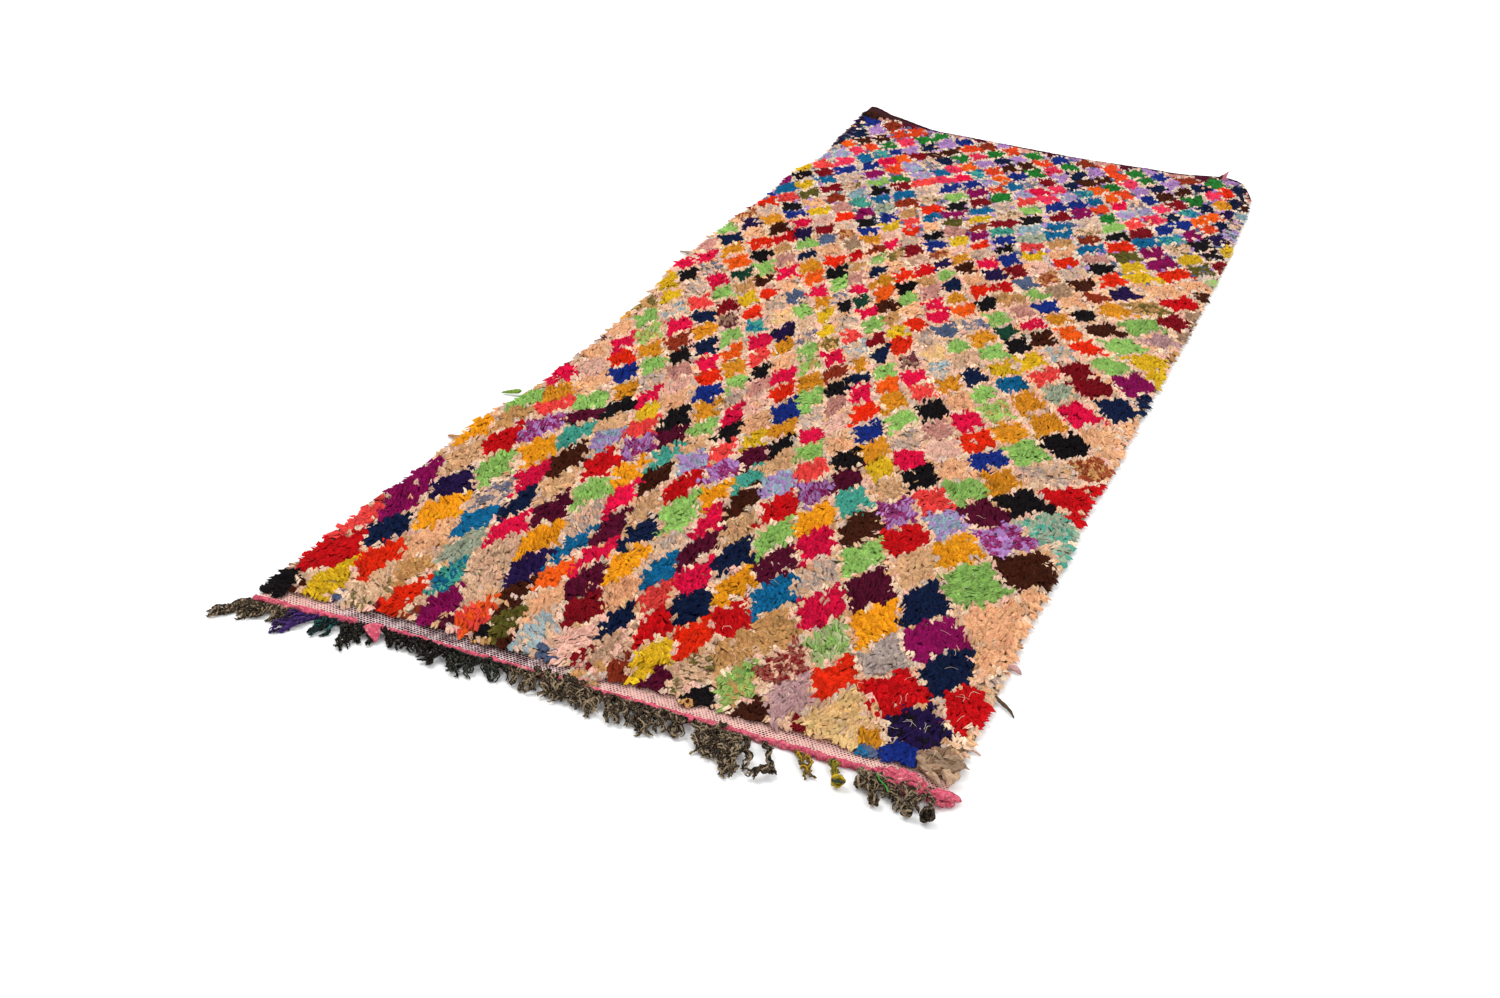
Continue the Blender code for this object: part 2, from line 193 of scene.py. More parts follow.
# Each row of lozenges repeats a few colours across the rug. A row says where the first one lies, as
# a share of the width, then the lozenges that begin it, its repeat and the lozenges that end it.
rowRepeats = [
    (0.010, "", "black brown greyBlue crimson rust plum", "crimson strawMix taupe"),
    (0.056, "", "lemon creamMix orangeRed purple coralMix olive blueMix palePink taupeMix",
     "greenMix mauve strawMix violetMix"),
    (0.015, "", "red orangeRed camel tealMix cream brown peach crimson navy",
     "crimsonMix orangeRed red red"),
    (0.048, "", "navy peach greyGreen cream violet orange plum peach coral", "red camel mintMix grey navy"),
    (0.096, "purple purple", "marigold tealBlue pinkRed", "purple peach"),
    (0.393, "purple violet steelMix navy plum", "navy greyMix plum", "plum greyMix plum navy peach"),
    (0.267, "sand", "green pinkRed sand", "pinkRed green sand green peach"),
    (0.141, "marigold", "marigold brown red", "brown"),
    (0.281, "peach camel", "purpleMix turquoise lilacMix", "purpleMix lilacMix purpleMix greyTeal"),
    (0.256, "green", "coral plum sand", "greyTeal"),
    (0.437, "camel mustard", "lemon black green black", "red"),
    (0.348, "", "pinkRed peach mustard", "pinkRed peach mustard red"),
    (0.296, "rust", "royalBlue greyMix palePink", "red"),
    (0.244, "peach", "orangeRed green dustyPink", "rustMix"),
    (0.326, "plumMix", "black pinkRed mustard", "black peach"),
    (0.089, "", "greenMix rust navy orange coral peach", "mustard peach"),
    (0.285, "", "pinkRed mustard green", "mustard green mustard pinkRed peach"),
    (0.122, "", "navy plumMix tealMix violetMix steelMix oliveMix blueMix",
     "blueMix navy tealBlue greyGreen navy"),
    (0.044, "", "lemon coral crimson orangeRed strawMix cream", "navy"),
    (0.207, "", "lemon greyMix green", "green lemon crimson purple"),
    (0.237, "", "orangeRed greyBlue mustard black pinkRed camel", "blueMix green lemon"),
    (0.211, "", "brown peach pinkRed steelMix darkGreen", "orangeRed lemon"),
    (0.281, "", "orange green pinkRed", "camel"),
    (0.267, "", "mustard black dustyPink", "brown mauve"),
    (0.348, "", "navy orangeRed camel", "royalBlue black green taupe"),
    (0.319, "", "red green peach", "mustard crimson"),
    (0.015, "", "violetMix brown violet greyBlue taupe rust oliveMix taupeMix", "taupe"),
    (0.326, "", "pinkRed crimson rustMix mustard", "brown violet red"),
    (0.244, "crimson", "royalBlue palePink greyMix", "orangeRed peach brown"),
    (0.274, "", "lemon orangeRed black", "peach"),
    (0.193, "", "purple royalBlue coral peach dustyPink", "lemon orangeRed mintMix"),
    (0.215, "", "turquoise greyGreen camel tealBlue olive rust", "purple olive"),
    (0.304, "", "orangeRed purple lemon crimson lightBlue tealBlue rust", ""),
    (0.215, "", "black tealBlue creamMix", "black"),
    (0.304, "lemon", "green crimson greyMix", "tealMix black lemon"),
    (0.226, "", "coral royalBlue purple farGreen", "violet"),
    (0.367, "", "flame lilacMix hotPink royalBlue", ""),
    (0.407, "", "tealBlue pinkRed lilacMix", "navy orange navy"),
    (0.152, "", "orange steelMix hotPink tealMix", ""),
    (0.352, "", "flame royalBlue crimson navy orange", "violet"),
    (0.270, "", "farGreen lilac brown", "mustard lightBlue"),
    (0.356, "", "navy brown hotPink", ""),
    (0.337, "", "farGreen lilac flame", "navy orangeRed brown"),
    (0.370, "", "flame farGreen royalBlue rust", "farGreen navy"),
    (0.300, "", "plum lilac dustyPink", ""),
]
lattice = {
    "share": [-.04, .015, .074, .141, .193, .244, .304, .348, .393,
              .452, .496, .552, .615, .685, .759, .844, .963, 1.06],
    "column": [step - 0.5 for step in range(18)],
    "station": [0.0, 0.020, 0.115, 0.205, 0.291, 0.386, 0.752, 1.024, 1.318,
                1.588, 1.847, 2.094, 2.329, 2.576, 2.776, 2.941, 3.02],
    "row": [-.2, 0, 1, 2, 3, 4, 8, 12, 16, 20, 24, 28, 32, 36, 40, 43, 44.4],
    "columns": 17,
    "even": (2.05, 2.55),  # between these stations the columns become evenly wide
    # half the pale line round a lozenge, out of 0.5, by station
    "outline": ((0.0, 0.9, 1.3, 1.8, 2.2, 3.0), (.050, .054, .092, .092, .078, .076)),
    "outlineWaver": 0.05,
    "outlineSlip": 0.014,
    "nearLeft": (0.004, 0.034),  # how far the first lozenges at the left lie out of line
    "nearRight": 0.036,
    "columnWander": 0.16,
    "rowWander": 0.22,
    "knotSlip": 0.026,
    "strays": 0.008,  # share of knots tied in another rag
    "strayDyes": ["cream", "paleCream", "palePink", "peach", "mist"],
    "depth": 1.15,  # over 1 deepens every dye
    "fade": (1.02, 0.12),
    "warmth": 0.025,
}


outlineDyes = [  # up to which station, and the dyes of the knots between the lozenges
    (1.1, "paleCream paleCream paleCream cream cream mist palePink cream cream sand".split()),
    (2.1, "paleCream paleCream paleCream cream cream cream palePink palePink peach mist".split()),
    (9.0, "white white white mist mist mist palePink paleCream paleCream lilac greyBlue".split()),
]


patches = [  # knots of another cloth: x, station, half their width and length, dye
    (-0.550, 0.030, 0.024, 0.038, "black"),
    (0.488, 0.048, 0.030, 0.022, "royalBlue"),
    (0.432, 0.064, 0.018, 0.021, "mustard"),
    (0.442, 0.034, 0.014, 0.012, "greyBlue"),
    (0.560, 0.050, 0.026, 0.032, "taupe"),
    (-0.540, 0.135, 0.026, 0.070, "red"),
    (0.385, 0.070, 0.056, 0.048, "strawMix"),
    (-0.530, 3.000, 0.066, 0.050, "darkMix"),
    (-0.552, 2.800, 0.018, 0.160, "violetMix"),
]


def linear(colour):
    value = np.asarray(colour, float) / 255
    return np.where(value <= 0.04045, value / 12.92, ((value + 0.055) / 1.055) ** 2.4)


def rowColours(number):
    at, left, repeat, right = rowRepeats[number]
    left, names, right = left.split(), repeat.split(), right.split()
    half = 0.5 if number % 2 else 0.0
    first = math.floor(float(np.interp(at, lattice["share"], lattice["column"])) - half + 0.5)
    last = lattice["columns"] - (number % 2)
    across = [names[(index - first) % len(names)] for index in range(last)]
    across[:len(left)] = left
    across[last - len(right):] = right
    return across


def lozengesAt(share, station, x, y, chance):
    # the rag's name at every knot, its lozenge's colour or the outline's, and the lozenge's number
    charts = [rowColours(number) for number in range(len(rowRepeats))]
    nearLeft = easeStep(1.2 - share) * easeStep(1.2 - station / 0.75)
    nearRight = easeStep((share - 0.78) / 0.14) * easeStep((0.50 - station) / 0.20)
    share = share + lattice["nearLeft"][0] * nearLeft + lattice["nearRight"] * nearRight
    station = station + lattice["nearLeft"][1] * nearLeft
    evenly = easeStep((station - lattice["even"][0]) / (lattice["even"][1] - lattice["even"][0]))
    evenColumn = (share + 0.03) / 1.06 * lattice["columns"] - 0.5
    column = np.interp(share, lattice["share"], lattice["column"]) * (1 - evenly) + evenColumn * evenly
    row = np.interp(station, lattice["station"], lattice["row"])
    slip = lattice["knotSlip"]
    column = column + lattice["columnWander"] * waver(x, y, 0.13, 1) + chance.normal(0, slip, len(x))
    row = row + lattice["rowWander"] * waver(x, y, 0.30, 2) + chance.normal(0, slip * 1.6, len(x))
    along, against = column + row / 2, column - row / 2
    cellAlong, cellAgainst = np.floor(along + 0.5), np.floor(against + 0.5)
    near = np.maximum(abs(along - cellAlong), abs(against - cellAgainst))
    edge = np.interp(y, *lattice["outline"]) + lattice["outlineWaver"] * waver(x, y, 0.10, 3)
    edge = edge + chance.normal(0, lattice["outlineSlip"], len(x))
    number = np.clip(cellAlong - cellAgainst, 0, len(rowRepeats) - 1).astype(int)
    place = np.floor((cellAlong + cellAgainst) / 2)
    names, lozenge = [], (number * 20 + np.clip(place, 0, 18).astype(int) + 1)
    for index in range(len(x)):
        chart = charts[number[index]]
        patch = [dyed for patchX, patchY, wide, long, dyed in patches
                 if math.hypot((x[index] - patchX) / wide, (y[index] - patchY) / long) < 1]
        if patch:
            names.append(patch[0])
        elif near[index] > 0.5 - edge[index] or place[index] >= len(chart):
            between = next(dyed for reach, dyed in outlineDyes if y[index] < reach)
            names.append(between[chance.integers(len(between))])
            lozenge[index] = 0
        else:
            names.append(chart[int(max(place[index], 0))])
    return names, lozenge


def deepDye(name):
    return linear(dyes[name]) ** lattice["depth"]


def ragColours(names, chance):
    # two dyes for each rag end: its own, and a paler or darker one that shows along its folds: for a blend,
    # partly the other rag's dye; for a plain dye, a darker copy of its own, painted shade in the folds
    strayNames = lattice["strayDyes"]
    main, second = np.empty((len(names), 3)), np.empty((len(names), 3))
    for index, name in enumerate(names):
        if chance.random() < lattice["strays"]:
            name = strayNames[chance.integers(len(strayNames))]
        if name in blends:
            first, other, part = blends[name]
            pair = (other, first) if chance.random() < part else (first, other)
            own, secondDyeAndFoldShade = deepDye(pair[0]), deepDye(pair[1])
            secondDyeAndFoldShade = own * 0.6 + secondDyeAndFoldShade * 0.4
        else:
            own = deepDye(name)
            # a darker copy of a plain dye: painted shade for the folds
            secondDyeAndFoldShade = own * 0.68
        fade = chance.normal(*lattice["fade"])
        warmth = 1 + chance.normal(0, lattice["warmth"], 3)
        main[index] = own * fade * warmth
        second[index] = secondDyeAndFoldShade * fade * warmth
    return np.clip(main, 0.0015, 1), np.clip(second, 0.001, 1)


# Helpers: nodes written as plain sums, and meshes.

class Strand:
    # one socket of a node tree, so that the maths of a finish reads as plain sums
    def __init__(self, tree, socket):
        self.tree = tree
        self.socket = socket

    def maths(self, operation, first, second=None, clamp=False):
        node = self.tree.nodes.new("ShaderNodeMath")
        node.operation = operation
        node.use_clamp = clamp
        for slot, item in zip(node.inputs, (first, second)):
            joinSocket(self.tree, slot, item)
        return Strand(self.tree, node.outputs[0])

    def clamped(self):
        return self.maths("ADD", self, 0.0, clamp=True)

    def away(self):
        return self.maths("ABSOLUTE", self)


def addSign(sign, operation):
    # lets sockets and numbers stand on either side of a sign
    setattr(Strand, f"__{sign}__", lambda self, other: self.maths(operation, self, other))
    setattr(Strand, f"__r{sign}__", lambda self, other: self.maths(operation, other, self))


for sign, operation in (("add", "ADD"), ("sub", "SUBTRACT"), ("mul", "MULTIPLY"),
                        ("truediv", "DIVIDE"), ("pow", "POWER")):
    addSign(sign, operation)


def joinSocket(tree, slot, item):
    if isinstance(item, Strand):
        tree.links.new(item.socket, slot)
    elif item is not None:
        slot.default_value = item


def placeNode(tree, kind, settings=None, links=None, output=0):
    # adds a node: its type, its settings, then the values or links of its sockets by name
    node = tree.nodes.new(kind)
    for name, value in (settings or {}).items():
        setattr(node, name, value)
    for name, item in (links or {}).items():
        joinSocket(tree, node.inputs[name], item)
    return Strand(tree, node.outputs[output])


class Finish:
    # a material of one Principled shader, with its uniform values set on the shader itself
    def __init__(self, name, roughness, sheen=0.0):
        self.material = bpy.data.materials.new(name)
        self.material.use_nodes = True
        self.tree = self.material.node_tree
        self.shader = self.tree.nodes["Principled BSDF"]
        self.shader.inputs["Roughness"].default_value = roughness
        self.shader.inputs["Specular IOR Level"].default_value = 0.06
        self.shader.inputs["Sheen Weight"].default_value = sheen
        self.shader.inputs["Sheen Roughness"].default_value = 0.6

    def node(self, kind, settings=None, links=None, output=0):
        return placeNode(self.tree, kind, settings, links, output)

    def place(self):
        return self.node("ShaderNodeTexCoord", output=3)

    def dye(self, name, output=0):
        settings = {"attribute_name": name, "attribute_type": "GEOMETRY"}
        return self.node("ShaderNodeAttribute", settings, output=output)

    def number(self, name):
        return self.dye(name, 2)

    def grain(self, scale, detail=2.0, roughness=0.5, stretch=None):
        at = self.place()
        if stretch:
            at = self.node("ShaderNodeMapping", links={"Vector": at, "Scale": stretch})
        return self.node("ShaderNodeTexNoise", links={
            "Vector": at, "Scale": scale, "Detail": detail, "Roughness": roughness})

    def lines(self, scale, detail, roughness, sharp):
        # thin lines where the noise crosses its middle
        return (1.0 - (self.grain(scale, detail, roughness) - 0.5).away() * sharp).clamped()

    def blend(self, share, first, second, kind="MIX"):
        node = self.tree.nodes.new("ShaderNodeMix")
        node.data_type = "RGBA"
        node.blend_type = kind
        joinSocket(self.tree, node.inputs[0], share)
        joinSocket(self.tree, node.inputs[6], first)
        joinSocket(self.tree, node.inputs[7], second)
        return Strand(self.tree, node.outputs[2])

    def bump(self, height, strength, distance):
        links = {"Height": height, "Strength": strength, "Distance": distance}
        joinSocket(self.tree, self.shader.inputs["Normal"], self.node("ShaderNodeBump", links=links))

    def colour(self, value):
        joinSocket(self.tree, self.shader.inputs["Base Color"], value)
        return self.material


def shade(*colour):
    # a dye by its name, or by its three values
    return (*linear(colour if len(colour) == 3 else dyes[colour[0]]), 1)


def meshPiece(name, points, faces, material):
    mesh = bpy.data.meshes.new(name)
    mesh.from_pydata([tuple(point) for point in points], [], faces)
    mesh.materials.append(material)
    piece = bpy.data.objects.new(name, mesh)
    bpy.context.scene.collection.objects.link(piece)
    return piece


def addAttribute(mesh, name, values):
    # one number, whole number or colour for every point
    values = np.asarray(values)
    kind, field = ("INT" if values.dtype == np.int32 else "FLOAT"), "value"
    if values.ndim == 2:
        kind, field = "FLOAT_COLOR", "color"
        values = np.hstack([values, np.ones((len(values), 1))])
    layer = mesh.attributes.new(name, kind, "POINT")
    layer.data.foreach_set(field, np.ascontiguousarray(values).ravel())


def editMesh(mesh, change):
    shape = bmesh.new()
    shape.from_mesh(mesh)
    change(shape)
    shape.to_mesh(mesh)
    shape.free()


def facesOut(shape):
    bmesh.ops.recalc_face_normals(shape, faces=shape.faces)


def dropLoosePoints(shape):
    loose = [point for point in shape.verts if not point.link_faces]
    bmesh.ops.delete(shape, geom=loose, context="VERTS")


def dress(piece, slot, *nodes):
    # a piece rides on the rug, in place of the named solids
    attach(piece, "root")
    if nodes:
        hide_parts(*nodes)


def growMesh(piece):
    # puts the plain mesh that the modifier grows in place of the piece's own
    graph = bpy.context.evaluated_depsgraph_get()
    graph.update()
    mesh = bpy.data.meshes.new_from_object(piece.evaluated_get(graph))
    old = piece.data
    piece.modifiers.clear()
    piece.data = mesh
    if old.users == 0:
        bpy.data.meshes.remove(old)
    mesh.name = piece.name
    return mesh


# Camera, floor and light.

view = {
    "lens": 46.783,
    "place": (1.02480, -3.69724, 1.64523),
    "yaw": 19.36276,
    "pitch": -28.05114,
    "roll": 4.80091,
}
studio = {
    "floor": (0.93, 0.93, 0.93),
    "floorReach": 9,
    "sky": 0.74,
    "lampSize": 3.0,
    "lamps": [  # place and power
        ("keyLamp", (-2.6, -0.6, 4.2), 151.0),
        ("fillLamp", (3.2, -2.6, 3.0), 66.0),
        ("backLamp", (1.8, 3.6, 3.6), 110.0),
    ],
}


def makeCamera():
    yaw, pitch, roll = (math.radians(view[name]) for name in ("yaw", "pitch", "roll"))
    ahead = Vector((-math.sin(yaw) * math.cos(pitch), math.cos(yaw) * math.cos(pitch), math.sin(pitch)))
    level = Vector((math.cos(yaw), math.sin(yaw), 0))
    upright = level.cross(ahead)
    right = math.cos(roll) * level + math.sin(roll) * upright
    up = -math.sin(roll) * level + math.cos(roll) * upright
    data = bpy.data.cameras.new("photoCamera")
    data.lens = view["lens"]
    data.sensor_width = 36.0
    camera = bpy.data.objects.new("photoCamera", data)
    turned = Matrix((right, up, -ahead)).transposed().to_4x4()
    camera.matrix_world = Matrix.Translation(view["place"]) @ turned
    bpy.context.scene.collection.objects.link(camera)
    bpy.context.scene.camera = camera


def makeLamp(name, place, power):
    data = bpy.data.lights.new(name, "AREA")
    data.energy = power
    data.size = studio["lampSize"]
    lamp = bpy.data.objects.new(name, data)
    lamp.location = place
    lamp.rotation_mode = "QUATERNION"
    lamp.rotation_quaternion = (-Vector(place)).to_track_quat("-Z", "Y")
    bpy.context.scene.collection.objects.link(lamp)


def makeStudio():
    finish = Finish("paperFloor", 0.9)
    finish.shader.inputs["Base Color"].default_value = (*studio["floor"], 1)
    reach = studio["floorReach"]
    corners = [(x * reach, y * reach, -0.0004) for x, y in ((-1, -1), (1, -1), (1, 1), (-1, 1))]
    floor = meshPiece("floor", corners, [(0, 1, 2, 3)], finish.material)
    world = bpy.data.worlds.new("studioSky")
    world.use_nodes = True
    sky = world.node_tree.nodes["Background"]
    sky.inputs[0].default_value = (1, 1, 1, 1)
    sky.inputs[1].default_value = studio["sky"]
    bpy.context.scene.world = world
    for lamp in studio["lamps"]:
        makeLamp(*lamp)
    bpy.context.scene.view_settings.view_transform = "Standard"


makeCamera()
makeStudio()
print("camera and studio ready")


# Rag pile.

pile = {
    "knotsAcross": 110,
    "knotsAlong": 180,
    "endsPerKnot": 2,
    "pieces": 5,
    "ragShapes": 18,
    "ragLength": (0.0170, 0.0270),
    "ragWidth": (0.0098, 0.0142),
    "lean": -1.5708,  # towards the fringe
    "turnSpread": 1.15,
    "tilt": 0.20,
    "slip": 0.0022,
    "combed": 0.55,  # how far a whole lozenge may be brushed aside
    "centre": 0.45,  # share of a rag end's length that lies behind its knot
    "loose": (0.35, 1.0),  # these four vary from one lozenge's cloth to the next
    "wider": (0.80, 1.30),
    "longer": (0.88, 1.14),
    "faded": (1.0, 0.05),
    "tall": (0.82, 1.12),
    "root": 0.0026,
    "nearGap": 0.001,
    "farGap": 0.002,
    "sideGap": 0.003,
    "rimWidths": (0.018, 0.020, 0.022),  # at the sides, the far end and the near end
    "rimLower": (0.35, 0.45, 0.42),
    "rimCalm": 0.45,
    "seed": 41,
}


tufts = [  # further rag ends, as low x, high x, near and far station, how many and their dyes
    (-0.030, 0.022, 0.002, 0.050, 30, ("dustyPink", "taupe", "camel", "mist")),
    (-0.568, -0.530, 0.002, 0.060, 34, ("black",)),
    (-0.200, -0.170, 0.024, 0.034, 4, ("camel", "cream")),
    (0.130, 0.170, 0.022, 0.034, 6, ("brown", "camel")),
    (0.464, 0.512, 0.034, 0.062, 20, ("royalBlue",)),
    (0.428, 0.452, 0.024, 0.040, 8, ("greyBlue", "tealBlue")),
    (-0.556, -0.530, 2.740, 2.960, 34, ("navy", "violet", "greyBlue", "darkGreen", "navy")),
    (0.535, 0.556, 2.100, 2.820, 40, ("taupe", "greyBlue", "mist", "brown")),
]


ragShape = {  # one strip of a rag end, in shares of its length, width and height
    "swing": (-0.34, 0.34),
    "apart": (0.40, 0.66),
    "reach": (0.78, 1.08),
    "crest": (0.30, 0.44),
    "high": (0.80, 1.06),
    "tipHigh": (0.44, 0.70),
    "half": (0.24, 0.36),
    "cut": (-0.14, 0.14),
    "lean": (-0.18, 0.18),
    "droop": (0.12, 0.30),
    "ridge": (0.02, 0.16),
    "middle": (-0.4, 0.4),
}
ragFaces = [(0, 1, 2), (0, 2, 3), (0, 3, 1), (1, 4, 2), (2, 4, 5), (2, 5, 3), (1, 3, 5, 4)]


def ragMesh(number, chance):
    # one knot's cut rags, one unit long, wide and high: two strips that rise, fold over and fall
    points, faces, maps = [], [], []
    for strip in range(2):
        first = len(points)
        drawn = [chance.uniform(*limits) for limits in ragShape.values()]
        swing, apart, reach, crest, high, tipHigh, half, cut, lean, droop, ridge, middle = drawn
        aside, tip = (strip - 0.5) * apart, half * 0.72
        for along, side, rise in (
                (0.04, 0.0, 0.0),
                (crest, -half, high - droop - lean),
                (crest + 0.05, half * middle, high + ridge),
                (crest, half, high - droop + lean),
                (reach + cut, -tip, tipHigh - lean),
                (reach - cut, tip, tipHigh + lean)):
            points.append((along - pile["centre"], aside + side + swing * along, rise))
        faces += [tuple(first + corner for corner in face) for face in ragFaces]
        left = 0.02 + 0.5 * strip
        for low, high in ((0.03, 0.30), (0.34, 0.62)):
            for part in range(3):
                u = left + 0.155 * part
                maps.append([(u + 0.07, low), (u, high), (u + 0.14, high)])
        maps.append([(left, 0.66), (left + 0.45, 0.66), (left + 0.45, 0.95), (left, 0.95)])
    mesh = bpy.data.meshes.new(f"ragEnd{number:02d}")
    mesh.from_pydata(points, [], faces)
    layer = mesh.uv_layers.new(name="OFBake")
    corners = [corner for face in maps for corner in face]
    layer.data.foreach_set("uv", np.array(corners).ravel())
    editMesh(mesh, facesOut)
    return mesh


def ragShapes():
    chance = random.Random(pile["seed"])
    shapes = bpy.data.collections.new("ragEnds")
    for number in range(pile["ragShapes"]):
        mesh = ragMesh(number, chance)
        shapes.objects.link(bpy.data.objects.new(mesh.name, mesh))
    return shapes


def dropShapes(shapes):
    for shape in list(shapes.objects):
        mesh = shape.data
        bpy.data.objects.remove(shape)
        bpy.data.meshes.remove(mesh)
    bpy.data.collections.remove(shapes)


def named(tree, name):
    return placeNode(tree, "GeometryNodeInputNamedAttribute", {"data_type": "FLOAT"}, {"Name": name})


def growTree(name, inputs):
    # an empty modifier tree with named inputs: (name, socket type, value)
    tree = bpy.data.node_groups.new(name, "GeometryNodeTree")
    for way in ("INPUT", "OUTPUT"):
        tree.interface.new_socket("Geometry", in_out=way, socket_type="NodeSocketGeometry")
    for title, kind, value in inputs:
        socket = tree.interface.new_socket(title, in_out="INPUT", socket_type="NodeSocket" + kind)
        if value is not None:
            socket.default_value = value
    given = tree.nodes.new("NodeGroupInput")
    return tree, {socket.name: Strand(tree, socket) for socket in given.outputs if socket.name}


def endTree(tree, geometry, material):
    real = placeNode(tree, "GeometryNodeRealizeInstances", links={"Geometry": geometry})
    dressed = placeNode(tree, "GeometryNodeSetMaterial", links={"Geometry": real, "Material": material})
    out = tree.nodes.new("NodeGroupOutput")
    joinSocket(tree, out.inputs[0], dressed)


def useTree(piece, tree, values):
    modifier = piece.modifiers.new(tree.name, "NODES")
    modifier.node_group = tree
    for item in tree.interface.items_tree:
        if item.in_out == "INPUT" and item.name in values:
            modifier[item.identifier] = values[item.name]


def randomValue(tree, low, high, seed, kind="FLOAT"):
    node = tree.nodes.new("FunctionNodeRandomValue")
    node.data_type = kind
    slots = {"FLOAT": (2, 3, 1), "INT": (4, 5, 2)}[kind]
    joinSocket(tree, node.inputs[slots[0]], low)
    joinSocket(tree, node.inputs[slots[1]], high)
    joinSocket(tree, node.inputs["Seed"], seed)
    return Strand(tree, node.outputs[slots[2]])


def pileTree():
    tree, given = growTree("knottedPile", [
        ("Rag ends", "Collection", None),
        ("Shapes", "Int", pile["ragShapes"]),
        ("Length least", "Float", pile["ragLength"][0]),
        ("Length most", "Float", pile["ragLength"][1]),
        ("Width least", "Float", pile["ragWidth"][0]),
        ("Width most", "Float", pile["ragWidth"][1]),
        ("Turn spread", "Float", pile["turnSpread"]),
        ("Tilt", "Float", pile["tilt"]),
        ("Seed", "Int", pile["seed"]),
        ("Finish", "Material", None),
    ])
    seed = given["Seed"]
    rags = placeNode(tree, "GeometryNodeCollectionInfo", links={
        "Collection": given["Rag ends"], "Separate Children": True, "Reset Children": True})
    loose = named(tree, "loose")
    spread = randomValue(tree, -1.0, 1.0, seed)
    turn = named(tree, "turn") + loose * given["Turn spread"] * spread
    tilt = given["Tilt"] * loose * randomValue(tree, -1.0, 1.0, seed + 1)
    roll = given["Tilt"] * loose * randomValue(tree, -1.0, 1.0, seed + 2)
    length = randomValue(tree, given["Length least"], given["Length most"], seed + 3)
    width = randomValue(tree, given["Width least"], given["Width most"], seed + 4)
    turned = placeNode(tree, "ShaderNodeCombineXYZ", links={"X": roll, "Y": tilt, "Z": turn})
    size = placeNode(tree, "ShaderNodeCombineXYZ", links={
        "X": length * named(tree, "longer"),
        "Y": width * named(tree, "wider"),
        "Z": named(tree, "tall")})
    strewn = placeNode(tree, "GeometryNodeInstanceOnPoints", links={
        "Points": given["Geometry"], "Instance": rags, "Pick Instance": True,
        "Instance Index": randomValue(tree, 0, given["Shapes"] - 1, seed + 5, "INT"),
        "Rotation": turned, "Scale": size})
    endTree(tree, strewn, given["Finish"])
    return tree


def ragFinish():
    finish = Finish("ragPile", 0.95)
    # noise patches where the second tint shows: the other rag's dye in blends, and painted fold shade for
    # plain dyes and the rim rags
    folds = (finish.grain(150.0, 3.0, 0.6) - 0.42) * 4.0
    dyed = finish.blend(folds.clamped(), finish.dye("tint"), finish.dye("tintTwo"))
    # thin dark lines multiplied over the dyes along the creases: painted shade
    creases = finish.lines(190.0, 3.0, 0.65, 16.0)
    shadedInCreases = finish.blend(creases * 0.50, dyed, (0.30, 0.24, 0.24, 1), "MULTIPLY")
    # thin pale lines towards a paler dye: pale frayed threads, and painted highlights on the rag edges
    frayAndHighlightLines = finish.lines(420.0, 2.0, 0.7, 22.0)
    pale = finish.blend(0.05, finish.dye("tint"), shade("paleCream"))
    withFrayAndHighlights = finish.blend(frayAndHighlightLines * 0.40, shadedInCreases, pale)
    crumple = finish.grain(260.0, 3.0, 0.65) + finish.grain(1400.0, 1.0, 0.5) * 0.25
    finish.bump(crumple, 0.9, 0.0028)
    return finish.colour(withFrayAndHighlights)


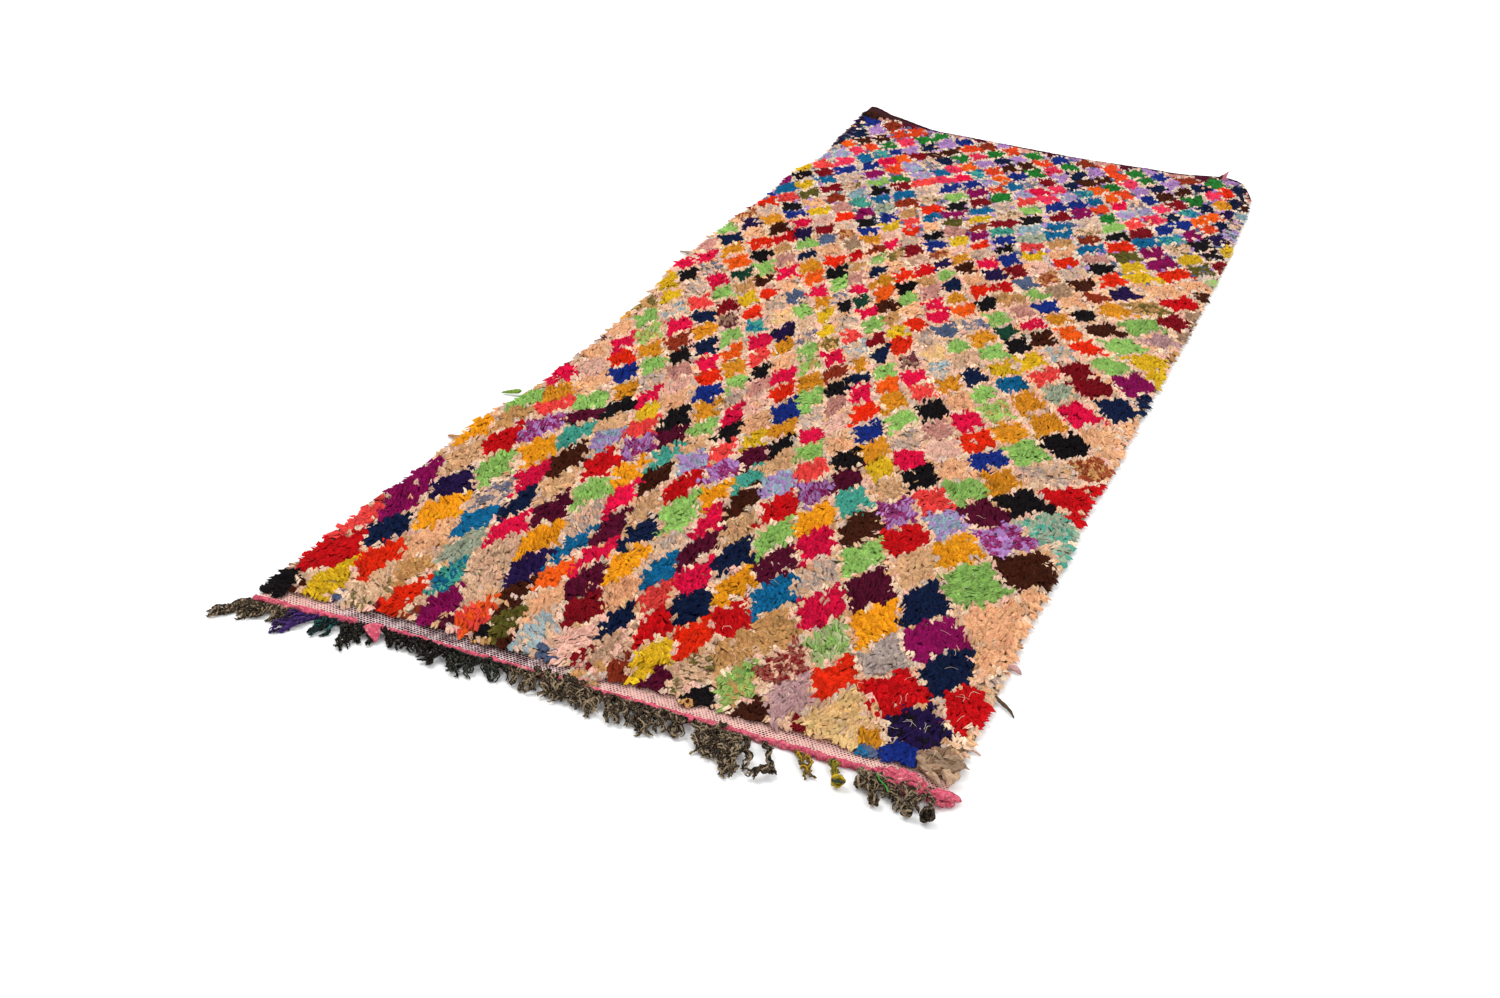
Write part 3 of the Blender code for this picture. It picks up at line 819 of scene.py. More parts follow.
def knots():
    chance = np.random.default_rng(pile["seed"])
    across, along = pile["knotsAcross"], pile["knotsAlong"]
    start, end = rug["nearBand"] + pile["nearGap"], rug["length"] - pile["farGap"]
    column, row = np.meshgrid(np.arange(across), np.arange(along))
    share = (column.ravel() + 0.5 + 0.25 * (row.ravel() % 2 * 2 - 1)) / across
    station = start + (end - start) * (row.ravel() + 0.5) / along
    x, moved, lift = rugPlace(share, station)
    names, lozenge = lozengesAt(share, station, x, moved, chance)
    for low, high, near, far, count, dyesOfTuft in tufts:
        extraX, extraStation = chance.uniform(low, high, count), chance.uniform(near, far, count)
        x, moved = np.append(x, extraX), np.append(moved, extraStation)
        share = np.append(share, np.where(extraX < 0, 0.0, 1.0))
        station, lift = np.append(station, extraStation), np.append(lift, np.zeros(count))
        names += [dyesOfTuft[index % len(dyesOfTuft)] for index in range(count)]
        lozenge = np.append(lozenge, np.zeros(count, int))
    pick = np.repeat(np.arange(len(x)), pile["endsPerKnot"])
    lozenge = lozenge[pick]
    tint, tintTwo = ragColours([names[index] for index in pick], chance)
    cloths = int(lozenge.max()) + 1  # every lozenge is cut from a cloth of its own
    brushed = chance.normal(0, pile["combed"], cloths)[lozenge] * (lozenge > 0)
    varied = [chance.uniform(*pile[name], cloths)[lozenge] for name in ("loose", "wider", "longer")]
    loose, wider, longer = varied
    faded = chance.normal(*pile["faded"], cloths)[lozenge][:, None]
    slipX = chance.normal(0, pile["slip"], len(pick))
    slipY = chance.normal(0, pile["slip"] * 1.2, len(pick))
    x, moved, lift = x[pick] + slipX, moved[pick] + slipY, lift[pick]
    share, station = share[pick], station[pick]
    full = pileThickness(x, moved) - rug["weave"]
    tall = full * chance.uniform(*pile["tall"], len(pick)) * cutShort(station)
    longer = longer * (0.25 + 0.75 * cutShort(station))
    left, right = sideLines(station)
    gaps = (np.minimum(x - left, right - x), end - station, station - start)
    rims = [easeStep(1 - gap / width) for gap, width in zip(gaps, pile["rimWidths"])]
    for rim, lower in zip(rims, pile["rimLower"]):
        tall = tall * (1 - lower * rim)
    rim = rims[0]
    turn = pile["lean"] + brushed * (1 - rim) + np.where(share < 0.5, -math.pi / 2, math.pi / 2) * rim
    x = np.clip(x, left + pile["sideGap"], right - pile["sideGap"])
    place = np.stack([x, moved - rug["middleStation"], pile["root"] + lift], 1)
    loose = loose * (1 - pile["rimCalm"] * rim)
    return dict(place=place, station=station, tint=tint * faded, tintTwo=tintTwo * faded,
                tall=tall, turn=turn, loose=loose, longer=longer, wider=wider)


def mapCells(mesh, count):
    # gives every rag end its own cell of the piece's map, so that no two share a place
    side = math.ceil(math.sqrt(count))
    number = np.empty(len(mesh.vertices), np.int32)
    mesh.attributes["rag"].data.foreach_get("value", number)
    corner = np.empty(len(mesh.loops), np.int32)
    mesh.loops.foreach_get("vertex_index", corner)
    layer = mesh.uv_layers["OFBake"]
    flat = np.empty(len(mesh.loops) * 2, np.float32)
    layer.data.foreach_get("uv", flat)
    flat = flat.reshape(-1, 2)
    cell = number[corner]
    flat[:, 0] = (cell % side + flat[:, 0]) / side
    flat[:, 1] = (cell // side + flat[:, 1]) / side
    layer.data.foreach_set("uv", flat.ravel())


def makePile():
    finish, tree, shapes = ragFinish(), pileTree(), ragShapes()
    ends = knots()
    pieces = []
    bounds = np.linspace(0, rug["length"], pile["pieces"] + 1)
    for number in range(pile["pieces"]):
        chosen = (ends["station"] >= bounds[number]) & (ends["station"] < bounds[number + 1])
        count = int(chosen.sum())
        piece = meshPiece(f"ragPile{number + 1}", ends["place"][chosen], [], finish)
        for name in ("tall", "turn", "loose", "longer", "wider", "tint", "tintTwo"):
            addAttribute(piece.data, name, ends[name][chosen])
        addAttribute(piece.data, "rag", np.arange(count, dtype=np.int32))
        useTree(piece, tree, {"Rag ends": shapes, "Seed": pile["seed"] + 10 * number, "Finish": finish})
        mesh = growMesh(piece)
        mapCells(mesh, count)
        dress(piece, "rag_pile")
        pieces.append(piece)
        print("pile piece", number + 1, "rag ends", count, "faces", len(mesh.polygons))
    dropShapes(shapes)
    return pieces


pilePieces = makePile()


# Woven ground: the warp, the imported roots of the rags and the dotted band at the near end.

ground = {
    "across": 150,
    "along": 370,
    "under": 0.0003,
    "top": 0.0030,
    "fill": 0.56,  # share of the pile's height that is packed cloth under the loose rag ends
    "lump": 0.0016,
    "lumpPitch": 0.011,
    "levelUntil": 2.75,
    "bandTop": 0.0031,
    "dotPitch": 0.0056,
    "dotSize": 0.29,
    "darkMiddle": 0.19,
    "deep": 0.58,  # painted shade: how much darker the dyes are painted on the ground down between the rags
    "bandMargin": 0.002,
    "nearRise": 0.020,  # over how much the pile rises from its near edge, its far one and its sides
    "farRise": 0.020,
    "sideRise": 0.018,  # and the selvage's width, as shares of the width
    "selvage": 0.012,
    "farBare": 0.012,
    "bareDye": (58, 24, 30),
    "selvageDye": (150, 116, 90),
}


def groundFinish():
    finish = Finish("wovenGround", 0.95)
    x, y = (finish.node("ShaderNodeSeparateXYZ", links={"Vector": finish.place()}, output=axis)
            for axis in (0, 1))
    slip = (finish.grain(220.0, 2.0) - 0.5) * 0.0030
    line = (y + 10.0 + slip) / (ground["dotPitch"] * 0.8)
    odd = line.maths("MODULO", line.maths("FLOOR", line), 2.0)
    step = (x + 10.0 + slip) / ground["dotPitch"] + odd * 0.5
    stepPart, linePart = step.maths("FRACT", step) - 0.5, line.maths("FRACT", line) - 0.5
    away = (stepPart * stepPart + linePart * linePart) ** 0.5
    middle = ((x + 0.47) * 12.0).clamped() * ((0.04 - x) * 8.0).clamped()
    size = middle * ground["darkMiddle"] + ground["dotSize"] + (finish.grain(60.0, 1.0) - 0.5) * 0.45
    dot = ((size - away) * 12.0).clamped()
    pink = finish.blend(finish.grain(90.0, 2.0), shade(218, 160, 152), shade(226, 192, 180))
    white = finish.blend(middle, pink, shade(222, 198, 196))
    dark = finish.blend(finish.grain(30.0, 1.0), shade("black"), shade(78, 22, 40))
    band = finish.blend(dot, white, dark)
    knot = finish.dye("tint")
    ribs = finish.node("ShaderNodeTexWave", {"bands_direction": "X"}, {
        "Vector": finish.place(), "Scale": 90.0, "Distortion": 1.5, "Detail": 1.0})
    woven = finish.blend((finish.grain(240.0, 3.0, 0.6) - 0.3) * 0.7, knot, (0.02, 0.010, 0.010, 1))
    both = finish.blend(finish.number("band"), woven, band)
    height = ribs * 0.3 + dot * 0.4 + finish.grain(300.0, 3.0, 0.6)
    finish.bump(height, 0.8, 0.0020)
    return finish.colour(both)


def groundFaces(rows, columns, levelRows):
    # the top is a full grid; under it, rows that lie level need only one long face each
    count = rows * columns
    faces = []
    for row in range(rows - 1):
        near, far = row * columns, (row + 1) * columns
        for column in range(columns - 1):
            faces.append((near + column, near + column + 1, far + column + 1, far + column))
            if row >= levelRows:
                under = (near + column, far + column, far + column + 1, near + column + 1)
                faces.append(tuple(count + index for index in under))
        if row < levelRows:
            ends = (0, columns - 1)
            low = [count + near + column for column in (range(columns) if row == 0 else ends)]
            high = [count + far + column for column in (range(columns) if row + 1 == levelRows else ends)]
            faces.append(tuple(low[:1] + high + low[:0:-1]))
    ring = list(range(columns)) + [row * columns + columns - 1 for row in range(1, rows)]
    ring += [(rows - 1) * columns + column for column in range(columns - 2, -1, -1)]
    ring += [row * columns for row in range(rows - 2, 0, -1)]
    for a, b in zip(ring, ring[1:] + ring[:1]):
        faces.append((a, a + count, b + count, b))
    return faces


def makeGround():
    stations = np.concatenate([
        np.linspace(0.0, rug["nearBand"], 5),
        np.linspace(rug["nearBand"], rug["length"], ground["along"])[1:],
        [rug["length"]],
    ])
    shares = np.linspace(0, 1, ground["across"])
    rows, columns = len(stations), len(shares)
    share = np.tile(shares, rows)
    station = np.repeat(stations, columns)
    last = np.repeat(np.arange(rows) == rows - 1, columns)
    x, moved, lift = rugPlace(share, station, np.where(last, 1.0, 0.0))
    bareFrom = rug["length"] - ground["farBare"]
    inBand = station < rug["nearBand"] + ground["bandMargin"]
    inside = easeStep((station - rug["nearBand"]) / ground["nearRise"])
    inside = inside * easeStep((bareFrom - station) / ground["farRise"])
    inside = inside * easeStep(np.minimum(share, 1 - share) / ground["sideRise"])
    packed = pile["root"] + (pileThickness(x, moved) - rug["weave"]) * ground["fill"] * cutShort(station)
    packed = packed + ground["lump"] * waver(x, moved, ground["lumpPitch"], 9)
    top = np.where(inBand, ground["bandTop"], ground["top"] + (packed - ground["top"]) * inside)
    top = top + 0.0003 * waver(x, moved, 0.02, 8)
    y = moved - rug["middleStation"]
    upper = np.stack([x, y, top + lift], 1)
    lower = np.stack([x, y, np.full(len(x), ground["under"]) + lift], 1)
    levelRows = int(np.searchsorted(stations, ground["levelUntil"]))
    faces = groundFaces(rows, columns, levelRows)
    piece = meshPiece("wovenGround", np.vstack([upper, lower]), faces, groundFinish())
    chance = np.random.default_rng(7)
    names, lozenge = lozengesAt(share, station, x, moved, chance)
    tint, folded = ragColours(names, chance)
    # the dyes of the packed ground between the rag ends are darkened here: painted shade
    tint = tint * ground["deep"]
    bare = (station > bareFrom) | last
    tint[bare] = linear(ground["bareDye"])
    selvage = np.minimum(share, 1 - share) < ground["selvage"]
    tint[selvage & ~bare] = linear(ground["selvageDye"])
    addAttribute(piece.data, "tint", np.vstack([tint, tint]))
    addAttribute(piece.data, "band", np.tile(np.where(inBand, 1.0, 0.0), 2))
    editMesh(piece.data, dropLoosePoints)
    dress(piece, "rag_pile", "pile_field")
    return piece


groundPiece = makeGround()
print("ground woven, faces", len(groundPiece.data.polygons))


# Twisted rag edging and its bow. A wound rag is a line of places with half a width and half a
# height at each, in millimetres: x, station, height, half width, half height.

edging = {
    "halfWidth": 0.0068,
    "halfHeight": 0.0050,
    "swell": 0.20,
    "station": -0.0066,
    "wander": 0.0011,
    "pathStep": 0.025,
    "left": (-0.566, -0.384),
    "right": (-0.338, 0.474),
    "sides": 14,
    "step": 0.0028,
    "turn": 135.0,
    "lobe": 0.24,
    "crease": 0.14,
    "crumple": 0.16,
    "flapCrumple": 0.04,
}
winding = {  # how every wound rag sways, swells and folds along its length
    "sway": 0.9,
    "swayPitch": 61,
    "lump": 0.16,
    "lumpPitch": 80,
    "foldPitch": 150,
    "foldsRound": 1.6,
    "endClose": 0.25,
}
bow = {
    "twists": 3,  # the first rags of the bow are twisted, the others are its open ends
    "twisted": dict(turn=110.0, lobe=0.26, crease=0.24, crumple=0.44, sides=18, step=0.0022),
    "open": dict(crease=0.22, crumple=0.38, sides=18, step=0.0022),
}
flap = [
    (-354, -9, 9, 6, 4), (-348, -19, 14, 16.4, 2.6), (-342.5, -28, 13, 12.8, 2.2),
    (-336, -37, 9, 6.6, 2), (-330, -45, 4.4, 1.2, 1.2),
]
bowRags = [
    [(462, -7.5, 6, 6.6, 5), (482, -17, 12, 8.2, 5.6), (502, -23.5, 13.5, 9, 6),
     (522, -22.5, 13, 8.6, 6), (540, -27, 11, 6.4, 5), (553, -31, 9, 3.6, 4)],
    [(470, -4.5, 8.5, 5, 4.6), (494, -6.5, 15, 7.6, 5), (516, -8, 17, 8.2, 5.2), (536, -15, 15, 7, 5),
     (550, -27, 11, 3.6, 4.2)],
    [(498, -29, 7.5, 5, 4.6), (512, -34.5, 9, 6.6, 5.2), (530, -34, 10, 6, 5), (548, -30, 9, 3.6, 4)],
    [(546, -29, 11, 3.6, 5), (559, -27, 12.5, 9.2, 4), (574, -22.5, 12, 10.8, 3.6),
     (588, -19, 9, 8.2, 2.8), (599, -16, 5, 2.2, 1.4)],
    [(550, -31, 8, 3.4, 4), (564, -36, 8, 7, 3.4), (579, -33.5, 6.6, 7, 3), (592, -27, 4.4, 2.4, 1.8)],
]


def metres(rows):
    return [tuple(value / 1000 for value in row) for row in rows]


def edgingPath(start, end, chance):
    count = max(2, round((end - start) / edging["pathStep"])) + 1
    path = []
    for x in np.linspace(start, end, count):
        swell = 1 + chance.uniform(-edging["swell"], edging["swell"])
        station = edging["station"] + chance.uniform(-1, 1) * edging["wander"] + float(nearSag(x))
        path.append((x, station, edging["halfHeight"], edging["halfWidth"] * swell, edging["halfHeight"]))
    return path


def smoothPath(path, step):
    # evenly spaced places along a smooth line through the points
    path = np.asarray(path, float)
    runs = np.concatenate([[0], np.cumsum(np.linalg.norm(np.diff(path[:, :3], axis=0), axis=1))])
    count = max(4, round(runs[-1] / step))
    at = np.linspace(0, runs[-1], count + 1)
    slopes = np.gradient(path, runs, axis=0)
    out = np.empty((len(at), path.shape[1]))
    for index, run in enumerate(at):
        part = min(np.searchsorted(runs, run, side="right") - 1, len(runs) - 2)
        length = runs[part + 1] - runs[part]
        t = (run - runs[part]) / length
        weights = (2*t**3 - 3*t**2 + 1, t**3 - 2*t**2 + t, -2*t**3 + 3*t**2, t**3 - t**2)
        ends = (path[part], length * slopes[part], path[part + 1], length * slopes[part + 1])
        out[index] = sum(weight * end for weight, end in zip(weights, ends))
    return at, out


def woundRag(path, seed, turn=0.0, lobe=0.0, crease=0.0, crumple=0.16, sides=14, step=0.0028):
    # a folded rag along a path: its lobed section turns as it goes, with folds that come and go
    at, line = smoothPath(path, step)
    ahead = np.gradient(line[:, :3], axis=0)
    ahead /= np.linalg.norm(ahead, axis=1)[:, None]
    aside = np.cross(ahead, (0, 0, 1))
    aside /= np.linalg.norm(aside, axis=1)[:, None]
    up = np.cross(aside, ahead)
    angles = np.linspace(0, 2 * math.pi, sides, endpoint=False)
    points = []
    for index, run in enumerate(at):
        turned = angles - run * turn + winding["sway"] * math.sin(run * winding["swayPitch"] + seed)
        folded = run * winding["foldPitch"]
        lobes = 1 + lobe * np.cos(2 * turned) + crease * np.cos(5 * angles + folded + seed)
        lump = 1 + winding["lump"] * noise.noise(Vector((run * winding["lumpPitch"], seed * 3.3, 0)))
        around = [(math.cos(a) * winding["foldsRound"], math.sin(a) * winding["foldsRound"]) for a in angles]
        folds = [noise.noise(Vector((*place, folded + seed * 9.7))) for place in around]
        close = winding["endClose"] if index in (0, len(at) - 1) else 1.0
        radius = lobes * (lump + crumple * 2 * np.array(folds)) * close / (1 + lobe * 0.5)
        ring = (line[index, :3] + np.outer(np.cos(angles) * radius * line[index, 3], aside[index])
                + np.outer(np.sin(angles) * radius * line[index, 4], up[index]))
        points.extend(ring)
    points = np.array(points)
    points[:, 1] -= rug["middleStation"]
    points[:, 2] = np.maximum(points[:, 2], 0.0002)
    faces = []
    for ring in range(len(at) - 1):
        for side in range(sides):
            a, b = ring * sides + side, ring * sides + (side + 1) % sides
            faces.append((a, b, b + sides, a + sides))
    faces.append(tuple(range(sides)))
    faces.append(tuple(range(len(points) - 1, len(points) - sides - 1, -1)))
    return points, faces


def ragPiece(name, rags, finish, slot, *nodes, dyed=None):
    # several wound rags joined in one piece; dyed gives each of them its colour
    points, faces, tint = [], [], []
    for number, (ragPoints, ragFaces) in enumerate(rags):
        first = len(points)
        points.extend(ragPoints)
        faces.extend(tuple(index + first for index in face) for face in ragFaces)
        if dyed:
            tint.extend([linear(dyed[number])] * len(ragPoints))
    piece = meshPiece(name, points, faces, finish)
    if dyed:
        tint = np.array(tint)
        addAttribute(piece.data, "tint", tint)
        # a darker copy of each rag's dye, which the rag material lays along its folds as painted shade
        addAttribute(piece.data, "tintTwo", tint * 0.7)
    editMesh(piece.data, facesOut)
    piece.data.shade_smooth()
    dress(piece, slot, *nodes)
    return piece


def edgingFinish():
    finish = Finish("pinkRag", 0.9)
    pink = finish.blend(finish.grain(45.0, 2.0), shade(214, 78, 110), shade(228, 120, 136))
    pale = finish.blend(((finish.grain(90.0, 3.0, 0.6) - 0.56) * 7.0).clamped() * 0.8, pink,
                        shade(232, 166, 160))
    dark = finish.blend(((finish.grain(170.0, 2.0, 0.6) - 0.56) * 6.0).clamped() * 0.7, pale,
                        shade(136, 30, 60))
    # thin dark lines multiplied in along the creases: painted shade; the same lines also lower the bump
    creases = finish.lines(130.0, 3.0, 0.65, 15.0)
    shadedInCreases = finish.blend(creases * 0.65, dark, (0.50, 0.20, 0.26, 1), "MULTIPLY")
    finish.bump(finish.grain(240.0, 4.0, 0.65, (0.5, 1.0, 1.0)) + creases * -0.3, 1.0, 0.0030)
    return finish.colour(shadedInCreases)


def makeEdging():
    chance = random.Random(5)
    finish = edgingFinish()
    twist = {name: edging[name] for name in ("turn", "lobe", "crease", "crumple", "sides", "step")}
    left = [woundRag(edgingPath(*edging["left"], chance), 1, **twist)]
    left.append(woundRag(metres(flap), 4, crumple=edging["flapCrumple"]))
    right = [woundRag(edgingPath(*edging["right"], chance), 2, **twist)]
    twisted, opened = bowRags[:bow["twists"]], bowRags[bow["twists"]:]
    knotted = [woundRag(metres(rag), 5 + number, **bow["twisted"]) for number, rag in enumerate(twisted)]
    knotted += [woundRag(metres(rag), 9 + number, **bow["open"]) for number, rag in enumerate(opened)]
    ragPiece("ragEdgingLeft", left, finish, "pink_rag", "rag_edging_left")
    ragPiece("ragEdgingRight", right, finish, "pink_rag", "rag_edging_right")
    ragPiece("edgingBow", knotted, finish, "pink_rag", "edging_bow")


makeEdging()
print("edging laid")


# Loose rags at the rim: the gathered corner, tails, the standing scrap and the cords of the edges.

gather = {
    "height": 0.0128,
    "halfHeight": 0.0054,
    "reach": 0.591,  # how far right the pleats may come
    "dye": (188, 156, 128),
    "pleats": [  # x, station, turn in degrees, length and half width
        (0.519, 0.040, -38, 0.030, 0.0062), (0.533, 0.026, -46, 0.034, 0.0066),
        (0.548, 0.010, -34, 0.034, 0.0062), (0.536, 0.057, -20, 0.036, 0.0070),
        (0.552, 0.042, -30, 0.038, 0.0076), (0.565, 0.022, -54, 0.034, 0.0066),
        (0.560, 0.063, 8, 0.032, 0.0070), (0.573, 0.045, 62, 0.034, 0.0062),
        (0.576, 0.018, 74, 0.030, 0.0058), (0.544, 0.031, 38, 0.024, 0.0048),
    ],
    # a pleat's section: shares of its length, half width and height
    "section": ((-0.5, 0.40, 0.70), (-0.2, 1.0, 1.0), (0.2, 0.9, 1.05), (0.5, 0.35, 0.65)),
    "twist": dict(crease=0.16, lobe=0.10, turn=12.0, crumple=0.26, step=0.0026),
}
tails = {
    "twist": dict(turn=90.0, lobe=0.2, crease=0.1, sides=10, step=0.004),
}
boundEdges = {  # the cord that each long side is bound with, and the dark one along the far end
    "stations": (0.02, 2.975, 90),
    "shares": (0.002, 0.998, 50),
    "sideCord": (0.0042, 0.0032, 0.0030),  # height, half width and half height
    "farCord": (0.0032, 0.0024, 0.0024),
    "twist": dict(turn=260.0, lobe=0.14, sides=6, step=0.0085),
    "dyes": [(150, 122, 96), (150, 122, 96), (62, 26, 30)],
}
rimRags = [  # tails at the sides: dye, then places as above, in millimetres
    ((92, 74, 56), [(570, 262, 8, 3, 3), (584, 250, 7, 3.4, 3), (600, 240, 5, 3, 2.8),
                    (612, 224, 3, 1.6, 1.6)]),
    ((206, 160, 158), [(566, 352, 9, 5, 4), (580, 352, 8, 6, 4), (592, 346, 4, 2, 2)]),
    ((216, 176, 160), [(566, 116, 8, 3, 3), (582, 110, 5, 2.5, 2), (594, 106, 3, 1.2, 1.2)]),
    ((120, 150, 60), [(-550, 860, 10, 6, 4), (-572, 850, 6, 5, 3), (-588, 846, 3, 2, 2)]),
    ((190, 140, 100), [(-550, 620, 10, 6, 4), (-572, 628, 6, 5, 3), (-586, 632, 3, 2, 2)]),
    ((172, 150, 130), [(-556, 1720, 10, 6, 4), (-580, 1730, 6, 4, 3), (-594, 1736, 3, 2, 2)]),
]
scrap = [  # the scrap of weave that stands up at the far end
    ((204, 120, 130), [(462, 3008, 6, 13, 4), (464, 3012, 18, 11, 3), (470, 3016, 29, 6, 2),
                       (474, 3018, 37, 2, 1)]),
    ((70, 30, 38), [(452, 3010, 5, 10, 4), (455, 3014, 14, 8, 3), (462, 3018, 24, 3, 2)]),
]


def cornerPleats(chance):
    # short folds of gathered cloth that lie over one another at the near right corner
    rags = []
    for x, station, degrees, length, halfWidth in gather["pleats"]:
        angle = math.radians(degrees + chance.uniform(-6, 6))
        high = gather["height"] * chance.uniform(0.80, 1.20)
        path = []
        for along, width, height in gather["section"]:
            placeX = min(x + math.cos(angle) * length * along, gather["reach"])
            placeY = station + math.sin(angle) * length * along
            path.append((placeX, placeY, high * height, halfWidth * width, gather["halfHeight"] * height))
        rags.append(woundRag(path, 20 + len(rags), **gather["twist"]))
    return rags


def cordAlong(share, station, onWeave, size):
    height, *section = size
    x, moved, lift = rugPlace(share, station, onWeave)
    return [(a, b, height + c, *section) for a, b, c in zip(x, moved, lift)]


def edgeCords():
    stations = np.linspace(*boundEdges["stations"])
    shares = np.linspace(*boundEdges["shares"])
    cords = [cordAlong(np.full(len(stations), share), stations, 0.0, boundEdges["sideCord"])
             for share in (shares[0], shares[-1])]
    cords.append(cordAlong(shares, np.full(len(shares), rug["length"]), 1.0, boundEdges["farCord"]))
    return [woundRag(cord, 40 + number, **boundEdges["twist"]) for number, cord in enumerate(cords)]


def makeRimRags(finish):
    chance = random.Random(12)
    pleats = cornerPleats(chance)
    hanging = [woundRag(metres(rag), 60 + number, **tails["twist"])
               for number, (dye, rag) in enumerate(rimRags + scrap)]
    dyed = [tuple(np.array(gather["dye"]) * chance.uniform(0.80, 1.12)) for pleat in pleats]
    dyed += [dye for dye, rag in rimRags + scrap] + boundEdges["dyes"]
    piece = ragPiece("rimRags", pleats + hanging + edgeCords(), finish, "rag_pile", dyed=dyed)
    piece.data.shade_flat()
    print("rim rags, faces", len(piece.data.polygons))
    return piece


rimPiece = makeRimRags(bpy.data.materials["ragPile"])


# Yarn fringe: clumps of locks, each a few yarns wound round one another.

yarnColours = {  # three dyes that the yarns of a clump are drawn from, and its share of stray fibres
    "heather": ((62, 50, 40), (150, 130, 104), (30, 25, 22), 1.0),
    "purpleYarn": ((66, 38, 112), (36, 26, 58), (84, 60, 112), 0.3),
    "tealYarn": ((14, 34, 38), (24, 86, 86), (18, 18, 20), 0.3),
    "blackYarn": ((20, 19, 20), (36, 38, 36), (13, 12, 13), 0.35),
    "darkGreen": ((26, 32, 30), (56, 62, 56), (17, 18, 18), 0.5),
    "mustardYarn": ((196, 152, 30), (150, 116, 34), (98, 82, 58), 0.6),
    "oliveYarn": ((140, 128, 34), (196, 158, 32), (44, 56, 52), 0.6),
}
fringe = {
    "step": 0.0025,
    "radius": (0.00115, 0.00165),
    "yarnsPerLock": 9,
    "lockRadius": 0.0060,
    "sway": 0.0034,
    "swayPitch": 0.028,
    "windPitch": 0.026,
    "curl": 0.0009,
    "curlPitch": 0.0072,
    "root": -0.0090,
    "looseFrom": 0.012,  # locks lower than this lie straighter
    "hook": 0.0035,
    "slack": 1.12,
    "rootHeight": 0.0040,
    "lockHeight": (0.75, 1.0),  # shares of the clump's height
    "uneven": (0.84, 1.0),  # shares of a lock's length
    "point": 0.20,  # how much shorter a clump's outer locks are
    "droop": 0.62,
    "ripple": 0.0020,
    "ripplePitch": 0.0065,
    "bead": 0.38,
    "beadPitch": 0.019,
    "taper": 0.55,
    "ballShells": (1.0, 0.96, 0.92, 0.98, 0.70, 0.62, 0.35),
    "ballYarn": 0.0022,
    "ballRest": 0.0020,
    "lap": (0.0075, 0.0165, 7, 0.9),  # over the band: root height, height, yarns and bulk
    "stray": 0.0025,
    "rest": 0.0002,
    "seed": 23,
    "sides": 3,
}
strayThreads = [  # places in mm, radius, dye
    ([(476, -30, 20), (484, -42, 20), (494, -50, 20), (504, -64, 20)], 0.0010, (60, 160, 62)),
    ([(-580, -98, 4), (-592, -112, 3), (-604, -124, 3)], 0.0005, (226, 216, 204)),
]
flyaway = {  # fine pale threads that have come loose on the near right of the pile, and a few elsewhere
    "zones": [  # low x, high x, near and far station, how many
        (0.44, 0.56, 0.05, 0.62, 34), (-0.05, 0.50, 0.05, 1.3, 36), (-0.5, 0.5, 1.2, 2.9, 30),
    ],
    "height": 0.0205,
    "rise": 0.003,
    "step": 0.0055,
    "bend": 0.4,
    "uneven": 0.0008,
    "radius": 0.00028,
    "dye": (236, 218, 196),
}
clumps = [  # in mm: start, end, station of the tips, lean, height; then locks, gather, colours
    (-570, -540, -104, -40, 6, 5, 0.9, "heather"),
    (-541, -508, -92, -26, 8, 5, 0.9, "heather"),
    (-512, -486, -78, -6, 10, 4, 0.9, "heather"),
    (-484, -442, -100, -20, 8, 6, 0.5, "purpleYarn"),
    (-442, -404, -82, -6, 8, 5, 0.7, "tealYarn"),
    (-404, -378, -94, 24, 10, 3, 0.5, "blackYarn"),
    (-380, -340, -66, 14, 11, 4, 0.8, "blackYarn"),
    (-340, -290, -50, 18, 13, 5, 0.95, "blackYarn"),
    (-290, -252, -52, 16, 14, 4, 0.9, "blackYarn"),
    (-254, -212, -70, 10, 15, 4, 0.8, "blackYarn"),
    (-212, -164, -74, 12, 15, 5, 0.8, "darkGreen"),
    (-164, -118, -58, 14, 15, 4, 0.9, "darkGreen"),
    (-118, -62, -64, 14, 16, 5, 0.8, "heather"),
    (-64, -10, -66, 18, 17, 5, 0.8, "heather"),
    (-10, 40, -78, 20, 17, 5, 0.8, "heather"),
    (38, 90, -84, 22, 16, 5, 0.8, "heather"),
    (90, 136, -83, 20, 16, 5, 0.75, "heather"),
    (136, 176, -75, 16, 15, 4, 0.8, "heather"),
    (184, 226, -98, 32, 16, 5, 0.7, "heather"),
    (222, 262, -138, 36, 15, 5, 0.55, "heather"),
    (252, 272, -100, 30, 14, 2, 0.8, "heather"),
    (292, 302, -82, 34, 12, 1, 0.6, "heather"),
    (344, 362, -78, 36, 13, 2, 0.5, "mustardYarn"),
    (398, 412, -52, 12, 13, 2, 0.5, "oliveYarn"),
    (438, 476, -82, 32, 16, 4, 0.7, "heather"),
    (474, 516, -86, 26, 16, 4, 0.7, "heather"),
    (514, 552, -76, 18, 14, 4, 0.8, "heather"),
]
overTufts = [  # locks over the band and the edging: x, first station, last x and station in mm
    (-74, 4, -58, -58, "heather"), (-60, 10, -40, -62, "heather"), (-46, 6, -30, -54, "heather"),
    (-30, 12, -8, -60, "heather"), (-16, 4, 6, -56, "heather"), (2, 2, 20, -62, "heather"),
    (236, 0, 216, -50, "heather"), (342, -76, 303, -102, "heather"), (336, -70, 310, -98, "heather"),
    (338, -80, 306, -94, "heather"),
]
